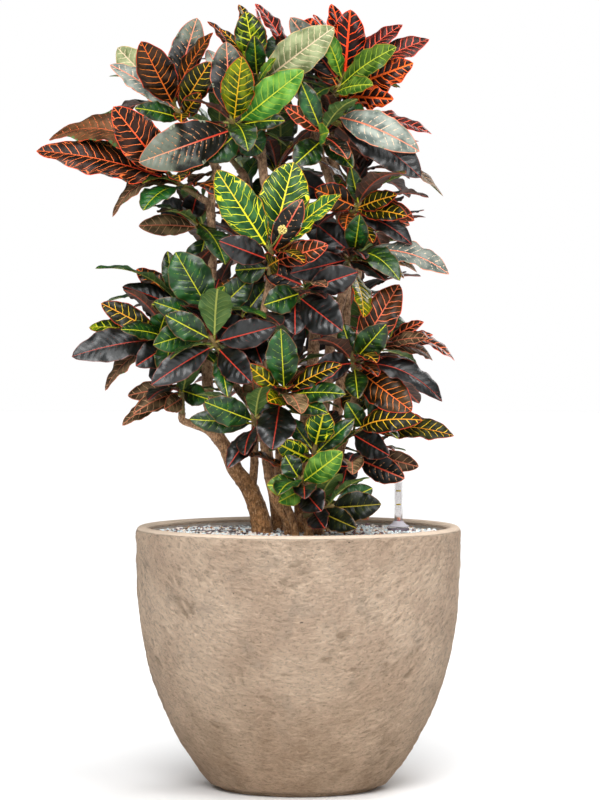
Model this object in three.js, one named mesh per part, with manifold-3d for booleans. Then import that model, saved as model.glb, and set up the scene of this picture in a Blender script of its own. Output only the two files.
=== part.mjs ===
// A potted croton: a bushy plant of nine woody stems with broad, net-veined leaves, rooted in a
// soil ball inside a rounded stone-look planter, which is filled and topped with mineral granules
// and carries a water-level gauge.
// Millimetres. X is right and Y is away, seen from the side that shows best. Z is up.
// The origin is the middle of the planter's foot, on the surface that it stands on.
import * as THREE from "three";
import { mergeVertices } from "three/addons/utils/BufferGeometryUtils.js";
import Module from "manifold-3d";

const wasm = await Module();
wasm.setup();

// ---------------------------------------------------------------- driving dimensions

const GAP = 0.3; // between pieces that rest against each other

const POT_DIAMETER = 400;
const POT_HEIGHT = 324;
const POT_WALL = 15;
const POT_FLOOR = 22;
const POT_FOOT_RADIUS = 93; // the flat that it stands on
const POT_BASE_RADIUS = 104; // where the wall would meet the ground
const POT_CURVE = 2.9; // how late the wall turns in: higher is rounder
const POT_EDGE = 6; // rounding of the rim and of the foot
const POT_FLOOR_ROUNDING = 14; // between the inside of the wall and the floor
const OUTSIDE_HEIGHTS = [9, 32, 66, 110, 165, 235]; // where the wall's outline bends
const INSIDE_HEIGHTS = [40, 95, 180];
const POT_SIDES = 40;

const GRANULATE_TOP = 314; // mean level of the granules, below the rim
const GRANULATE_LAYER = 285; // underside of the top layer
const GRANULE_RELIEF = 2.2;
const GRANULATE_RINGS = 6;

const ROOT_BALL_TOP_RADIUS = 100;
const ROOT_BALL_FOOT_RADIUS = 84;
const ROOT_BALL_FOOT = 110;
const ROOT_BALL_SIDES = 16;
const ROOT_DEPTH = 226; // how low the stems reach in the soil

const GAUGE_X = 125;
const GAUGE_Y = 50;
const GAUGE_FOOT = 96;
const GAUGE_RING_BASE = 311;
const GAUGE_RING_HEIGHT = 7;
const GAUGE_COLLAR_HEIGHT = 7;
const GAUGE_TOP = 376;
const GAUGE_SLEEVE_RADIUS = 12.5;
const GAUGE_RING_RADIUS = 13.5;
const GAUGE_BORE_RADIUS = 11;
const GAUGE_TUBE_RADIUS = 5;
const GAUGE_TUBE_BORE = 3.6;
const FLOAT_RADIUS = 9;
const FLOAT_HEIGHT = 40;
const FLOAT_ROD_RADIUS = 1.6;
const FLOAT_TIP_RADIUS = 2.2;
const FLOAT_TIP_TOP = 331;
const GAUGE_LIP_RADIUS = 5; // the opening in the sleeve's foot
const GAUGE_LIP_HEIGHT = 2;
const GAUGE_SIDES = 12;
const GAUGE_HOLE_SIDES = 20;

const TRUNK_SIDES = 7;
const BRANCH_SIDES = 4;
const BRANCH_RADIUS = 6; // a limb that starts thicker than this has a trunk's sides
const WOOD_STEP = 50; // length of one straight stretch of a branch
const LINE_STRETCHES = 8; // of a branch's centre line that leaves are held clear of
const YOUNG_STEM_FOOT_RADIUS = 3.8;
const YOUNG_STEM_TIP_RADIUS = 2.4;
const YOUNG_STEM_SIDES = 3;
const SHOOT_REACH = 40; // young stem from the wood to the middle of its leaves
const YOUNG_STEM_END = 5; // past that middle
const BRANCH_END = 9; // the last stretch of a branch, which leans as its young stem does

const LEAF_THICKNESS = 1.1;
const PETIOLE_THICKNESS = 2.2;
const PETIOLE_HALF_WIDTH = 1.5;
const PETIOLE_END = 0.11; // share of the leaf's length
const ROOT_DEPTH_IN_STEM = 1.2; // past the young stem's middle
const BLADE_STATIONS = [0.4, 0.74];
const LEAF_SLIMNESS = 0.36; // least real width, as a share of the length
const LEAF_FOLD = 0.22; // rise of the margins over the midrib
const LEAF_WAVE = 0.1; // further rise and fall along the margins
const LEAF_WAVE_PACE = 19; // radians of that wave along the leaf
const LEAF_WAVE_SHIFT = 2; // radians that each margin is ahead or behind
const LEAF_BOW = 0.07; // rise of the midrib over its chord
const LEAF_SPACING = 26; // length of young stem that carries the leaves
const LEAF_CLEARANCE = 0.8; // added to a leaf's thickness where it holds another clear
const TIP_CLEARANCE = 4; // times that again, past its tip
const SWINGS = [0, 14, -14, 28, -28, 42, -42, 56]; // tries that bend a leaf's tip clear

// Leaf tones: 0 young green, 1 green with yellow veins, 2 near-black with a red midrib,
// 3 red-veined, 4 bronze, 5 silver.
const TONE_COLOURS = ["#86a52c", "#2f5a2a", "#23292a", "#7d2a18", "#5a4a40", "#8d9a94"];

// ---------------------------------------------------------------- the plant's layout

// A limb is [radius at its start, radius at its end, points]. The last points of a limb that
// carries a shoot follow from that shoot, which is named after the points.
const STEMS = {
  stem_left_trunk: [
    [15, 8.2, [[-42, 6, ROOT_DEPTH], [-44, 5, 300], [-47, 4, 330], [-53, 2, 352], [-63, 0, 374],
      [-78, -4, 394], [-88, -8, 417], [-99, -12, 434]]],
    [7.4, 4.8, [[-96, -11, 428], [-107, -12, 460], [-111, -12, 487], [-112, -14, 543],
      [-106, -10, 654], [-107, -6, 728], [-99, -8, 768]]],
    [6.4, 4.2, [[-95, -11, 428], [-113, -14, 444], [-130, -15, 450]], "shoot_lower_left"],
    [5, 4, [[-100, -8, 762], [-112, -9, 786]], "shoot_crown_left"],
    [5, 4, [[-107, -7, 705], [-112, -18, 722]], "shoot_red_left"],
    [5, 4, [[-106, -9, 664]], "shoot_under_red_left"],
    [5, 4, [[-112, -14, 532], [-109, -24, 548]], "shoot_green_left"],
    [5, 4, [[-112, -14, 548]], "shoot_waist_left"],
    [5.4, 4, [[-112, -13, 515], [-122, -18, 530]], "shoot_far_left"],
    [5.4, 4.4, [[-58, 1, 366], [-55, -5, 392], [-54, -13, 421], [-52, -26, 475],
      [-47, -38, 550], [-45, -48, 575]], "shoot_yellow_front"],
    [4.8, 4, [[-47, -38, 546], [-32, -52, 570]], "shoot_waist_front"],
    [4.8, 4, [[-48, -36, 536]], "shoot_waist_inner"],
  ],
  stem_front: [
    [6.6, 4.4, [[-8, -34, ROOT_DEPTH], [-10, -34, 300], [-14, -36, 332], [-28, -40, 356],
      [-38, -46, 396], [-43, -50, 432], [-55, -54, 469], [-76, -58, 498]], "shoot_mid_left"],
    [4.8, 4, [[-44, -50, 432]], "shoot_lower_front_left"],
  ],
  stem_front_thin: [
    [5.4, 4, [[-1, -55, ROOT_DEPTH], [-2, -55, 300], [-7, -56, 334], [-15, -58, 354],
      [-24, -61, 384], [-24, -62, 412], [-24, -64, 440]], "shoot_mid_front"],
  ],
  stem_middle: [
    [9, 5.2, [[5, 22, ROOT_DEPTH], [3, 22, 300], [3, 22, 335], [6, 24, 420], [18, 24, 528],
      [19, 20, 580], [5, 14, 650], [-25, 6, 705], [-41, 2, 747], [-46, 0, 790],
      [-50, 1, 815]], "shoot_crown_top"],
    [4.8, 4, [[-45, 0, 778], [-54, -6, 792]], "shoot_crown_middle"],
    [4.8, 4, [[-48, 0, 800], [-40, 10, 830]], "shoot_crown_back_middle"],
  ],
  stem_right: [
    [7.5, 5, [[18, -8, ROOT_DEPTH], [16, -8, 300], [15, -8, 335], [24, -8, 400], [34, -10, 486],
      [41, -14, 556], [58, -20, 633], [54, -20, 690], [35, -16, 760], [18, -14, 800]]],
    [4.6, 4, [[19, -14, 797], [22, -9, 818]], "shoot_crown_right"],
    [4.6, 3.8, [[22, -15, 791]], "shoot_silver_right"],
    [4.6, 3.8, [[26, -15, 780]], "shoot_under_crown_right"],
    [5, 4, [[54, -20, 690]], "shoot_upper_right"],
    [5, 4, [[58, -20, 630]], "shoot_waist_right"],
  ],
  stem_far_right: [
    [7, 4.8, [[24, -38, ROOT_DEPTH], [24, -38, 300], [24, -38, 335], [41, -42, 386],
      [54, -44, 429], [67, -44, 474], [75, -42, 502]], "shoot_mid_far_right"],
    [4.8, 4, [[73, -43, 494]], "shoot_mid_right"],
    [4.8, 4, [[55, -44, 430]], "shoot_lower_right"],
    [4.6, 3.8, [[46, -43, 400]], "shoot_lower_far_right"],
    [6.4, 5.4, [[30, -40, 354], [44, -48, 370], [56, -54, 382]]], // pruned stub
  ],
  stem_low_front: [
    [6.6, 4.4, [[15, -64, ROOT_DEPTH], [14, -64, 300], [12, -66, 332], [12, -68, 354],
      [13, -71, 376]], "shoot_lower_front"],
    [4.6, 3.8, [[12, -67, 346]], "shoot_low_young"],
    [4.6, 3.8, [[13, -66, 334]], "shoot_low_right"],
  ],
  stem_back_left: [
    [8, 5, [[-24, 48, ROOT_DEPTH], [-25, 50, 300], [-27, 52, 335], [-40, 64, 420], [-46, 76, 520],
      [-50, 84, 620], [-58, 88, 700]], "shoot_back_high_left"],
    [4.8, 4, [[-56, 87, 690], [-46, 94, 710]], "shoot_back_high_middle"],
    [4.8, 4, [[-50, 84, 610], [-66, 92, 628]], "shoot_back_upper_left"],
    [4.8, 4, [[-49, 82, 590], [-38, 98, 604]], "shoot_back_upper_middle"],
    [4.8, 4, [[-45, 74, 500], [-70, 76, 514]], "shoot_back_waist_left"],
    [4.8, 4, [[-42, 68, 450], [-44, 88, 466]], "shoot_back_low_left"],
  ],
  stem_back_right: [
    [8, 5, [[30, 40, ROOT_DEPTH], [30, 42, 300], [32, 44, 335], [45, 58, 430], [56, 72, 530],
      [60, 82, 640], [50, 90, 740]], "shoot_back_crown_right"],
    [4.8, 4, [[54, 88, 712], [66, 92, 730]], "shoot_back_high_right"],
    [4.8, 4, [[60, 82, 622], [76, 86, 636]], "shoot_back_upper_right"],
    [4.8, 4, [[58, 76, 560], [60, 96, 572]], "shoot_back_waist_right"],
    [4.8, 4, [[50, 64, 466], [66, 78, 480]], "shoot_back_low_right"],
  ],
};

// A shoot is the middle of its leaves (at), the way that its young stem leans, and its leaves,
// each [right, away, up] from the middle to the tip, the width seen from the front, the tone and,
// where it differs, the bow of the midrib. more: leaves added round its far side by rule.
const SHOOTS = {
  shoot_crown_left: {
    at: [-156, -12, 845], lean: [-0.6, -0.1, 0.8], more: 1,
    leaves: [[-35, -52, 72, 46, 3], [31, 25, 106, 41, 5], [52, 8, 85, 24, 3], [49, -42, 48, 36, 1],
      [37, -40, 10, 24, 1], [-75, -10, 46, 30, 5], [-68, 36, 70, 44, 5], [-44, -34, -8, 24, 1]],
  },
  shoot_red_left: {
    at: [-155, -40, 750], lean: [-0.8, -0.3, 0.5],
    leaves: [[-164, -20, 34, 50, 3], [-153, 44, 50, 38, 4, 0.25], [-68, -62, 86, 52, 3],
      [-72, -34, -46, 18, 4, 0.3]],
  },
  shoot_under_red_left: {
    at: [-133, 8, 702], lean: [-0.75, 0.2, 0.6],
    leaves: [[-64, -10, -8, 26, 4], [4, -26, -78, 40, 1], [-38, 44, 20, 34, 2], [10, -40, 34, 30, 2]],
  },
  shoot_crown_middle: {
    at: [-82, -50, 820], lean: [-0.4, -0.8, 0.35],
    leaves: [[-111, -40, -51, 58, 5], [89, -34, 61, 44, 0], [14, -42, 77, 42, 1], [-6, 6, 98, 44, 5],
      [66, -40, 0, 22, 1], [-30, 34, 90, 26, 5], [-30, -16, -48, 40, 2], [38, 10, -36, 40, 2]],
  },
  shoot_crown_top: {
    at: [-51, 10, 886], lean: [0, 0.1, 1],
    leaves: [[-14, -8, 72, 40, 1], [-3, -38, 40, 26, 1], [-23, 34, 84, 18, 4], [-2, 22, 78, 13, 3],
      [-62, 20, 62, 20, 3], [-44, -24, 50, 16, 4], [95, -36, 51, 50, 5, 0.12],
      [-77, -48, -37, 16, 5, 0.16], [24, -30, 12, 12, 0]],
  },
  shoot_crown_back_middle: {
    at: [-8, 38, 893], lean: [0.4, 0.3, 0.8], more: 1,
    leaves: [[-46, 6, 78, 18, 3], [26, 30, 62, 30, 2], [-22, 46, 42, 34, 1], [40, -8, 20, 30, 2]],
  },
  shoot_crown_right: {
    at: [57, 10, 876], lean: [0.5, 0.25, 0.8],
    leaves: [[-30, -46, 60, 22, 0], [63, -58, 35, 28, 0], [7, -14, 84, 44, 3], [-16, 26, 94, 30, 3],
      [-38, 40, 82, 26, 3], [72, 8, 67, 22, 3], [105, -6, 49, 36, 3], [84, -36, 17, 40, 3],
      [60, -34, -27, 30, 3], [-28, -14, 26, 30, 2], [-67, 10, 74, 38, 5], [34, -58, -12, 20, 0],
      [40, 44, 58, 26, 3]],
  },
  shoot_silver_right: {
    at: [49, -45, 829], lean: [0.5, -0.8, 0.3],
    leaves: [[98, -30, -46, 42, 5, 0.26], [100, -46, -78, 44, 2, 0.1], [128, -58, -100, 10, 5, 0.05],
      [88, 0, -78, 22, 4], [34, 6, 2, 32, 2], [114, 14, -24, 16, 3]],
  },
  shoot_under_crown_right: {
    at: [29, -60, 806], lean: [0, -0.95, 0.3],
    leaves: [[37, -36, -44, 26, 1], [30, -56, -34, 22, 4], [-26, -16, 62, 26, 1],
      [-46, -30, 32, 20, 3], [-34, -20, -40, 36, 2], [8, -50, -2, 28, 0]],
  },
  shoot_yellow_front: {
    at: [-33, -95, 663], lean: [0.05, -0.6, 0.8],
    leaves: [[-65, -26, 96, 50, 1], [27, 12, 107, 60, 1], [38, -32, 61, 32, 0], [85, -44, 67, 30, 1],
      [-62, -30, 11, 34, 2], [69, -34, 6, 30, 3], [10, -52, -12, 30, 1], [-44, 24, -24, 36, 2]],
  },
  shoot_upper_right: {
    at: [74, -46, 718], lean: [0.5, -0.7, 0.5], more: 1,
    leaves: [[-10, -16, 46, 20, 1], [46, -40, 12, 24, 1], [58, -44, -14, 26, 1],
      [68, 4, -18, 24, 4, 0.25], [62, -20, -24, 22, 5], [64, -22, -48, 26, 2, 0.15],
      [16, -46, -46, 18, 1], [-54, -14, 20, 36, 2]],
  },
  shoot_waist_right: {
    at: [68, -56, 660], lean: [0.35, -0.8, 0.5],
    leaves: [[115, -18, -26, 22, 5, 0.15], [76, -40, -24, 14, 4, 0.15], [54, -52, -34, 22, 1, 0.2],
      [36, -62, -34, 18, 2], [-78, -36, -25, 36, 2], [10, -56, -78, 18, 1], [6, -20, 46, 30, 1],
      [-44, 16, 34, 36, 2]],
  },
  shoot_waist_front: {
    at: [10, -85, 619], lean: [0.55, -0.6, 0.6],
    leaves: [[43, -38, -53, 50, 2], [-52, -26, -22, 36, 2], [-14, -36, -58, 34, 2],
      [62, 2, 18, 36, 2], [-52, -40, 22, 28, 2]],
  },
  shoot_waist_inner: {
    at: [-70, -52, 580], lean: [-0.55, -0.4, 0.7],
    leaves: [[-10, -26, -62, 34, 2], [26, -34, -54, 34, 2], [34, 8, 44, 32, 1], [-40, 20, 30, 34, 2]],
  },
  shoot_mid_right: {
    at: [66, -75, 534], lean: [-0.1, -0.8, 0.6],
    leaves: [[40, -24, 40, 36, 1], [-12, -12, 40, 24, 1], [57, 14, 88, 44, 3],
      [108, -20, -54, 24, 4, 0.16], [71, -34, -65, 46, 2], [-46, -20, -12, 34, 2],
      [6, -40, -50, 30, 1]],
  },
  shoot_mid_far_right: {
    at: [112, -15, 552], lean: [0.8, 0.3, 0.5],
    leaves: [[42, -14, 24, 14, 3], [54, 4, 8, 16, 3], [46, -28, 4, 14, 3], [80, -8, -24, 14, 5, 0.22],
      [54, -22, -24, 18, 3, 0.2], [10, 44, 32, 32, 2], [30, -30, -46, 30, 2]],
  },
  shoot_lower_right: {
    at: [86, -68, 450], lean: [0.8, -0.5, 0.4],
    leaves: [[35, -22, 58, 32, 1], [64, -36, 8, 30, 1, 0.25], [103, -14, -12, 30, 4, 0.1],
      [-6, -20, 74, 16, 1], [40, 26, 24, 34, 2], [24, -44, -34, 34, 2],
      [-28, -26, 30, 26, 2]],
  },
  shoot_lower_far_right: {
    at: [84, -25, 415], lean: [0.85, 0.4, 0.3],
    leaves: [[64, 2, -17, 26, 4], [46, -28, -30, 34, 4], [-30, -40, -36, 30, 2],
      [34, 40, -20, 34, 2]],
  },
  shoot_green_left: {
    at: [-106, -70, 587], lean: [0, -0.75, 0.66],
    leaves: [[-43, -12, 74, 54, 1], [-69, -42, -38, 42, 1], [18, -40, 32, 16, 0],
      [50, -8, 44, 34, 1], [52, -36, -26, 38, 2], [-70, 0, 14, 30, 1]],
  },
  shoot_waist_left: {
    at: [-149, -20, 598], lean: [-0.7, -0.1, 0.7], more: 1,
    leaves: [[-12, 4, 65, 24, 1], [31, -14, 22, 22, 1], [-67, -8, 21, 26, 2], [-51, 24, 43, 24, 4],
      [-30, -46, 0, 24, 1]],
  },
  shoot_far_left: {
    at: [-171, -40, 561], lean: [-0.85, -0.3, 0.42],
    leaves: [[-70, -6, 38, 30, 1], [-86, 14, 8, 26, 0], [-44, -52, 6, 22, 1], [-104, -24, -27, 36, 2],
      [-65, -10, -69, 20, 4, 0.18], [-26, -34, -38, 36, 2], [10, -40, 26, 32, 2]],
  },
  shoot_lower_left: {
    at: [-143, -30, 502], lean: [0, -0.3, 0.95],
    leaves: [[-67, 12, -17, 24, 2], [-73, -20, -53, 18, 4, 0.14], [-20, -44, -32, 24, 2],
      [34, -34, -20, 28, 1], [-40, 40, 20, 36, 2], [-58, -30, -38, 22, 2, 0.14]],
  },
  shoot_mid_left: {
    at: [-104, -95, 555], lean: [-0.3, -0.8, 0.5],
    leaves: [[48, -36, -51, 38, 2], [-73, -26, -54, 34, 2], [78, -10, 17, 36, 2],
      [19, -34, -69, 26, 1], [-56, -16, 30, 34, 1]],
  },
  shoot_mid_front: {
    at: [-17, -100, 492], lean: [0.2, -0.8, 0.5],
    leaves: [[-4, -28, 77, 40, 1], [74, -34, -2, 24, 1], [-20, -56, -10, 22, 1], [70, 4, 33, 22, 1],
      [-46, -8, 34, 22, 1], [-14, -38, -68, 48, 2], [52, -52, -24, 24, 0]],
  },
  shoot_lower_front_left: {
    at: [-54, -90, 459], lean: [-0.2, -0.85, 0.45],
    leaves: [[-59, -34, 22, 36, 1], [-78, -8, 0, 30, 1], [-31, -34, -58, 28, 2],
      [-10, -50, -42, 16, 2], [30, -14, 42, 34, 2]],
  },
  shoot_lower_front: {
    at: [20, -88, 425], lean: [0.15, -0.5, 0.85],
    leaves: [[12, -34, 48, 36, 1], [-46, -26, 6, 30, 1], [-30, 8, 34, 22, 1], [48, -4, 34, 24, 1],
      [40, -30, -22, 32, 2]],
  },
  shoot_low_young: {
    at: [2, -112, 386], lean: [-0.2, -0.8, 0.55],
    leaves: [[51, -36, 36, 36, 0], [-26, -40, -24, 26, 0], [-18, -6, 30, 28, 2],
      [26, -30, -36, 36, 2], [-40, 0, -6, 28, 1]],
  },
  shoot_low_right: {
    at: [40, -90, 353], lean: [0.8, -0.5, 0.3],
    leaves: [[60, -22, 4, 36, 1], [-8, -44, -24, 30, 2], [30, -38, -24, 30, 1], [46, -4, -16, 10, 5],
      [50, 6, 22, 28, 1]],
  },
  shoot_back_high_left: { at: [-98, 98, 796], lean: [-0.6, 0.3, 0.75], more: 5 },
  shoot_back_high_middle: { at: [-22, 122, 776], lean: [0.4, 0.55, 0.7], more: 5 },
  shoot_back_upper_left: { at: [-74, 114, 676], lean: [-0.6, 0.6, 0.5], more: 5 },
  shoot_back_upper_middle: { at: [-16, 144, 640], lean: [0.3, 0.85, 0.4], more: 5 },
  shoot_back_waist_left: { at: [-104, 84, 548], lean: [-0.85, 0.15, 0.5], more: 5 },
  shoot_back_low_left: { at: [-50, 132, 496], lean: [-0.1, 0.9, 0.4], more: 5 },
  shoot_back_crown_right: { at: [46, 112, 846], lean: [0.1, 0.35, 0.9], more: 5 },
  shoot_back_high_right: { at: [76, 108, 764], lean: [0.6, 0.4, 0.6], more: 5 },
  shoot_back_upper_right: { at: [92, 100, 668], lean: [0.8, 0.3, 0.45], more: 5 },
  shoot_back_waist_right: { at: [70, 140, 598], lean: [0.2, 0.9, 0.4], more: 5 },
  shoot_back_low_right: { at: [84, 104, 502], lean: [0.6, 0.6, 0.4], more: 5 },
};

// The rule for the leaves that no list gives.
const ADDED_TURN = 137.5; // degrees from one added leaf to the next
const ADDED_TURN_SPREAD = 40;
const ADDED_LEAN = 0.35; // how far an added leaf follows its young stem
const ADDED_LENGTH = 112;
const ADDED_LENGTH_SPREAD = 34;
const ADDED_SLIMNESS = 0.36;
const ADDED_TONES = [2, 1, 2, 4, 1, 3, 2, 0];
const ADDED_LOWEST = -22; // degrees above the horizon of the lowest added leaf
const ADDED_HIGHEST = 58;

// ---------------------------------------------------------------- helpers

const UP = new THREE.Vector3(0, 0, 1);
const TO_FRONT = new THREE.Vector3(0, -1, 0);
const vector = (p) => new THREE.Vector3(...p);

// A repeatable number from 0 to 1 for each count.
function draw(count) {
  const wide = Math.sin(count * 12.9898) * 43758.5453;
  return wide - Math.floor(wide);
}

function solidFrom(positions, triangles) {
  const solid = new wasm.Manifold(new wasm.Mesh({
    numProp: 3,
    vertProperties: new Float32Array(positions),
    triVerts: new Uint32Array(triangles),
  }));
  if (solid.volume() > 0) return solid;
  const turned = [];
  for (let i = 0; i < triangles.length; i += 3) {
    turned.push(triangles[i], triangles[i + 2], triangles[i + 1]);
  }
  return new wasm.Manifold(new wasm.Mesh({
    numProp: 3,
    vertProperties: new Float32Array(positions),
    triVerts: new Uint32Array(turned),
  }));
}

function solidFromGeometry(geometry) {
  const bare = geometry.clone();
  bare.deleteAttribute("normal");
  bare.deleteAttribute("uv");
  const merged = mergeVertices(bare, 1e-4);
  return solidFrom(merged.attributes.position.array, merged.index.array);
}

function geometryFrom(solid) {
  const mesh = solid.getMesh();
  const geometry = new THREE.BufferGeometry();
  geometry.setAttribute("position", new THREE.BufferAttribute(mesh.vertProperties, 3));
  geometry.setIndex(new THREE.BufferAttribute(mesh.triVerts, 1));
  const flat = geometry.toNonIndexed();
  flat.computeVertexNormals();
  return flat;
}

// The largest body of a cut solid: the scraps that a cut leaves loose are dropped.
function largestBody(solid) {
  const bodies = solid.decompose();
  bodies.sort((a, b) => b.volume() - a.volume());
  return bodies[0];
}

// A solid of revolution round the line x, y from a closed outline of [radius, height] points.
function turned(outline, sides, x = 0, y = 0) {
  const points = outline.map(([r, z]) => new THREE.Vector2(r, z));
  const geometry = new THREE.LatheGeometry(points, sides);
  geometry.rotateX(Math.PI / 2);
  geometry.translate(x, y, 0);
  return solidFromGeometry(geometry);
}

function arcPoints(centreR, centreZ, radius, fromDegrees, toDegrees, steps) {
  const points = [];
  for (let i = 0; i <= steps; i += 1) {
    const angle = THREE.MathUtils.degToRad(fromDegrees + (toDegrees - fromDegrees) * i / steps);
    points.push([centreR + radius * Math.cos(angle), centreZ + radius * Math.sin(angle)]);
  }
  return points;
}

// ---------------------------------------------------------------- planter and filling

// The wall's outer radius: full at the rim, turning in ever faster towards the ground.
function potRadius(z) {
  const full = POT_DIAMETER / 2;
  return full - (full - POT_BASE_RADIUS) * (1 - z / POT_HEIGHT) ** POT_CURVE;
}

const insideRadius = (z) => potRadius(z) - POT_WALL;

function wallPoints(radiusAt, heights) {
  return heights.map((z) => [radiusAt(z), z]);
}

function makePot() {
  const rimOuter = arcPoints(POT_DIAMETER / 2 - POT_EDGE, POT_HEIGHT - POT_EDGE, POT_EDGE, 0, 90, 2);
  const rimInner = arcPoints(insideRadius(POT_HEIGHT) + POT_EDGE, POT_HEIGHT - POT_EDGE, POT_EDGE,
    90, 180, 2);
  const outline = [
    [0, 0],
    [POT_FOOT_RADIUS, 0],
    ...wallPoints(potRadius, OUTSIDE_HEIGHTS),
    ...rimOuter,
    ...rimInner,
    ...wallPoints(insideRadius, [GRANULATE_LAYER, ...INSIDE_HEIGHTS.toReversed()]),
    [insideRadius(INSIDE_HEIGHTS[0]) - POT_FLOOR_ROUNDING, POT_FLOOR],
    [0, POT_FLOOR],
  ];
  return turned(outline, POT_SIDES);
}

// The round hole that the gauge stands in.
function gaugeSpace(radius, fromZ, toZ) {
  const outline = [[0, fromZ], [radius, fromZ], [radius, toZ], [0, toZ]];
  return turned(outline, GAUGE_HOLE_SIDES, GAUGE_X, GAUGE_Y);
}

function rootBallOutline(clearance) {
  return [
    [0, ROOT_BALL_FOOT - clearance],
    [ROOT_BALL_FOOT_RADIUS + clearance, ROOT_BALL_FOOT - clearance],
    [ROOT_BALL_TOP_RADIUS + clearance, GRANULATE_LAYER - GAP + clearance],
    [0, GRANULATE_LAYER - GAP + clearance],
  ];
}

function makeRootBall(wood) {
  const ball = turned(rootBallOutline(0), ROOT_BALL_SIDES);
  return ball.subtract(wood);
}

function makeGranulateFill() {
  const inner = (z) => insideRadius(z) - GAP;
  const fill = turned([
    [0, POT_FLOOR + GAP],
    [inner(INSIDE_HEIGHTS[0]) - POT_FLOOR_ROUNDING, POT_FLOOR + GAP],
    ...wallPoints(inner, [...INSIDE_HEIGHTS, GRANULATE_LAYER - GAP]),
    [0, GRANULATE_LAYER - GAP],
  ], POT_SIDES);
  return fill
    .subtract(turned(rootBallOutline(GAP), ROOT_BALL_SIDES))
    .subtract(gaugeSpace(GAUGE_SLEEVE_RADIUS + GAP, GAUGE_FOOT - GAP, POT_HEIGHT));
}

// The top layer: a disc whose upper face is a field of small bumps, a few granules wide each.
function makeGranulateTop(wood) {
  const radius = insideRadius(GRANULATE_LAYER) - GAP;
  const rim = insideRadius(GRANULATE_TOP) - GAP;
  const positions = [0, 0, GRANULATE_TOP];
  const triangles = [];
  const sides = POT_SIDES;
  for (let ring = 1; ring <= GRANULATE_RINGS; ring += 1) {
    for (let side = 0; side < sides; side += 1) {
      const count = ring * sides + side;
      const angle = 2 * Math.PI * side / sides;
      const reach = ring / GRANULATE_RINGS;
      const bump = ring === GRANULATE_RINGS ? 0 : (draw(count) - 0.5) * 2 * GRANULE_RELIEF;
      positions.push(rim * reach * Math.cos(angle), rim * reach * Math.sin(angle),
        GRANULATE_TOP + bump);
    }
  }
  const at = (ring, side) => 1 + (ring - 1) * sides + (side % sides);
  for (let side = 0; side < sides; side += 1) {
    triangles.push(0, at(1, side), at(1, side + 1));
    for (let ring = 1; ring < GRANULATE_RINGS; ring += 1) {
      triangles.push(at(ring, side), at(ring + 1, side), at(ring + 1, side + 1));
      triangles.push(at(ring, side), at(ring + 1, side + 1), at(ring, side + 1));
    }
  }
  const low = positions.length / 3;
  for (let side = 0; side < sides; side += 1) {
    const angle = 2 * Math.PI * side / sides;
    positions.push(radius * Math.cos(angle), radius * Math.sin(angle), GRANULATE_LAYER);
  }
  positions.push(0, 0, GRANULATE_LAYER);
  const middle = low + sides;
  for (let side = 0; side < sides; side += 1) {
    const next = (side + 1) % sides;
    triangles.push(at(GRANULATE_RINGS, side), low + side, low + next);
    triangles.push(at(GRANULATE_RINGS, side), low + next, at(GRANULATE_RINGS, side + 1));
    triangles.push(middle, low + next, low + side);
  }
  return solidFrom(positions, triangles)
    .subtract(wood)
    .subtract(gaugeSpace(GAUGE_RING_RADIUS + GAP, GAUGE_FOOT, POT_HEIGHT));
}

// ---------------------------------------------------------------- water-level gauge

const gaugeTurned = (outline) => turned(outline, GAUGE_SIDES, GAUGE_X, GAUGE_Y);

// The buried sleeve: a tube with a lip at its foot that the float rests above.
function makeGaugeSleeve() {
  const lip = GAUGE_LIP_RADIUS;
  const lipTop = GAUGE_FOOT + GAUGE_LIP_HEIGHT;
  return gaugeTurned([
    [lip, GAUGE_FOOT],
    [GAUGE_SLEEVE_RADIUS, GAUGE_FOOT],
    [GAUGE_SLEEVE_RADIUS, GAUGE_RING_BASE - GAP],
    [GAUGE_BORE_RADIUS, GAUGE_RING_BASE - GAP],
    [GAUGE_BORE_RADIUS, lipTop],
    [lip, lipTop],
    [lip, GAUGE_FOOT],
  ]);
}

function makeGaugeRing() {
  const top = GAUGE_RING_BASE + GAUGE_RING_HEIGHT;
  return gaugeTurned([
    [GAUGE_BORE_RADIUS, GAUGE_RING_BASE],
    [GAUGE_RING_RADIUS, GAUGE_RING_BASE],
    [GAUGE_RING_RADIUS, top - 1.5],
    [GAUGE_RING_RADIUS - 1, top],
    [GAUGE_BORE_RADIUS, top],
    [GAUGE_BORE_RADIUS, GAUGE_RING_BASE],
  ]);
}

const TUBE_FLANGE_BASE = GAUGE_RING_BASE + GAUGE_RING_HEIGHT + GAP;
const TUBE_FLANGE_HEIGHT = 1.2;
const TUBE_CAP = 1.6;

// The clear tube: closed at its top, with a flange at its foot that lies on the ring.
function makeGaugeTube() {
  const flange = GAUGE_RING_RADIUS - 1;
  return gaugeTurned([
    [GAUGE_TUBE_BORE, TUBE_FLANGE_BASE],
    [flange, TUBE_FLANGE_BASE],
    [flange, TUBE_FLANGE_BASE + TUBE_FLANGE_HEIGHT],
    [GAUGE_TUBE_RADIUS, TUBE_FLANGE_BASE + TUBE_FLANGE_HEIGHT],
    [GAUGE_TUBE_RADIUS, GAUGE_TOP],
    [0, GAUGE_TOP],
    [0, GAUGE_TOP - TUBE_CAP],
    [GAUGE_TUBE_BORE, GAUGE_TOP - TUBE_CAP],
    [GAUGE_TUBE_BORE, TUBE_FLANGE_BASE],
  ]);
}

function makeGaugeCollar() {
  const base = TUBE_FLANGE_BASE + TUBE_FLANGE_HEIGHT + GAP;
  const bore = GAUGE_TUBE_RADIUS + GAP;
  const top = base + GAUGE_COLLAR_HEIGHT;
  return gaugeTurned([
    [bore, base],
    [GAUGE_RING_RADIUS, base],
    [GAUGE_RING_RADIUS - 4, base + 2],
    [bore + 2.4, base + 4.4],
    [bore + 1.2, top],
    [bore, top],
    [bore, base],
  ]);
}

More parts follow.
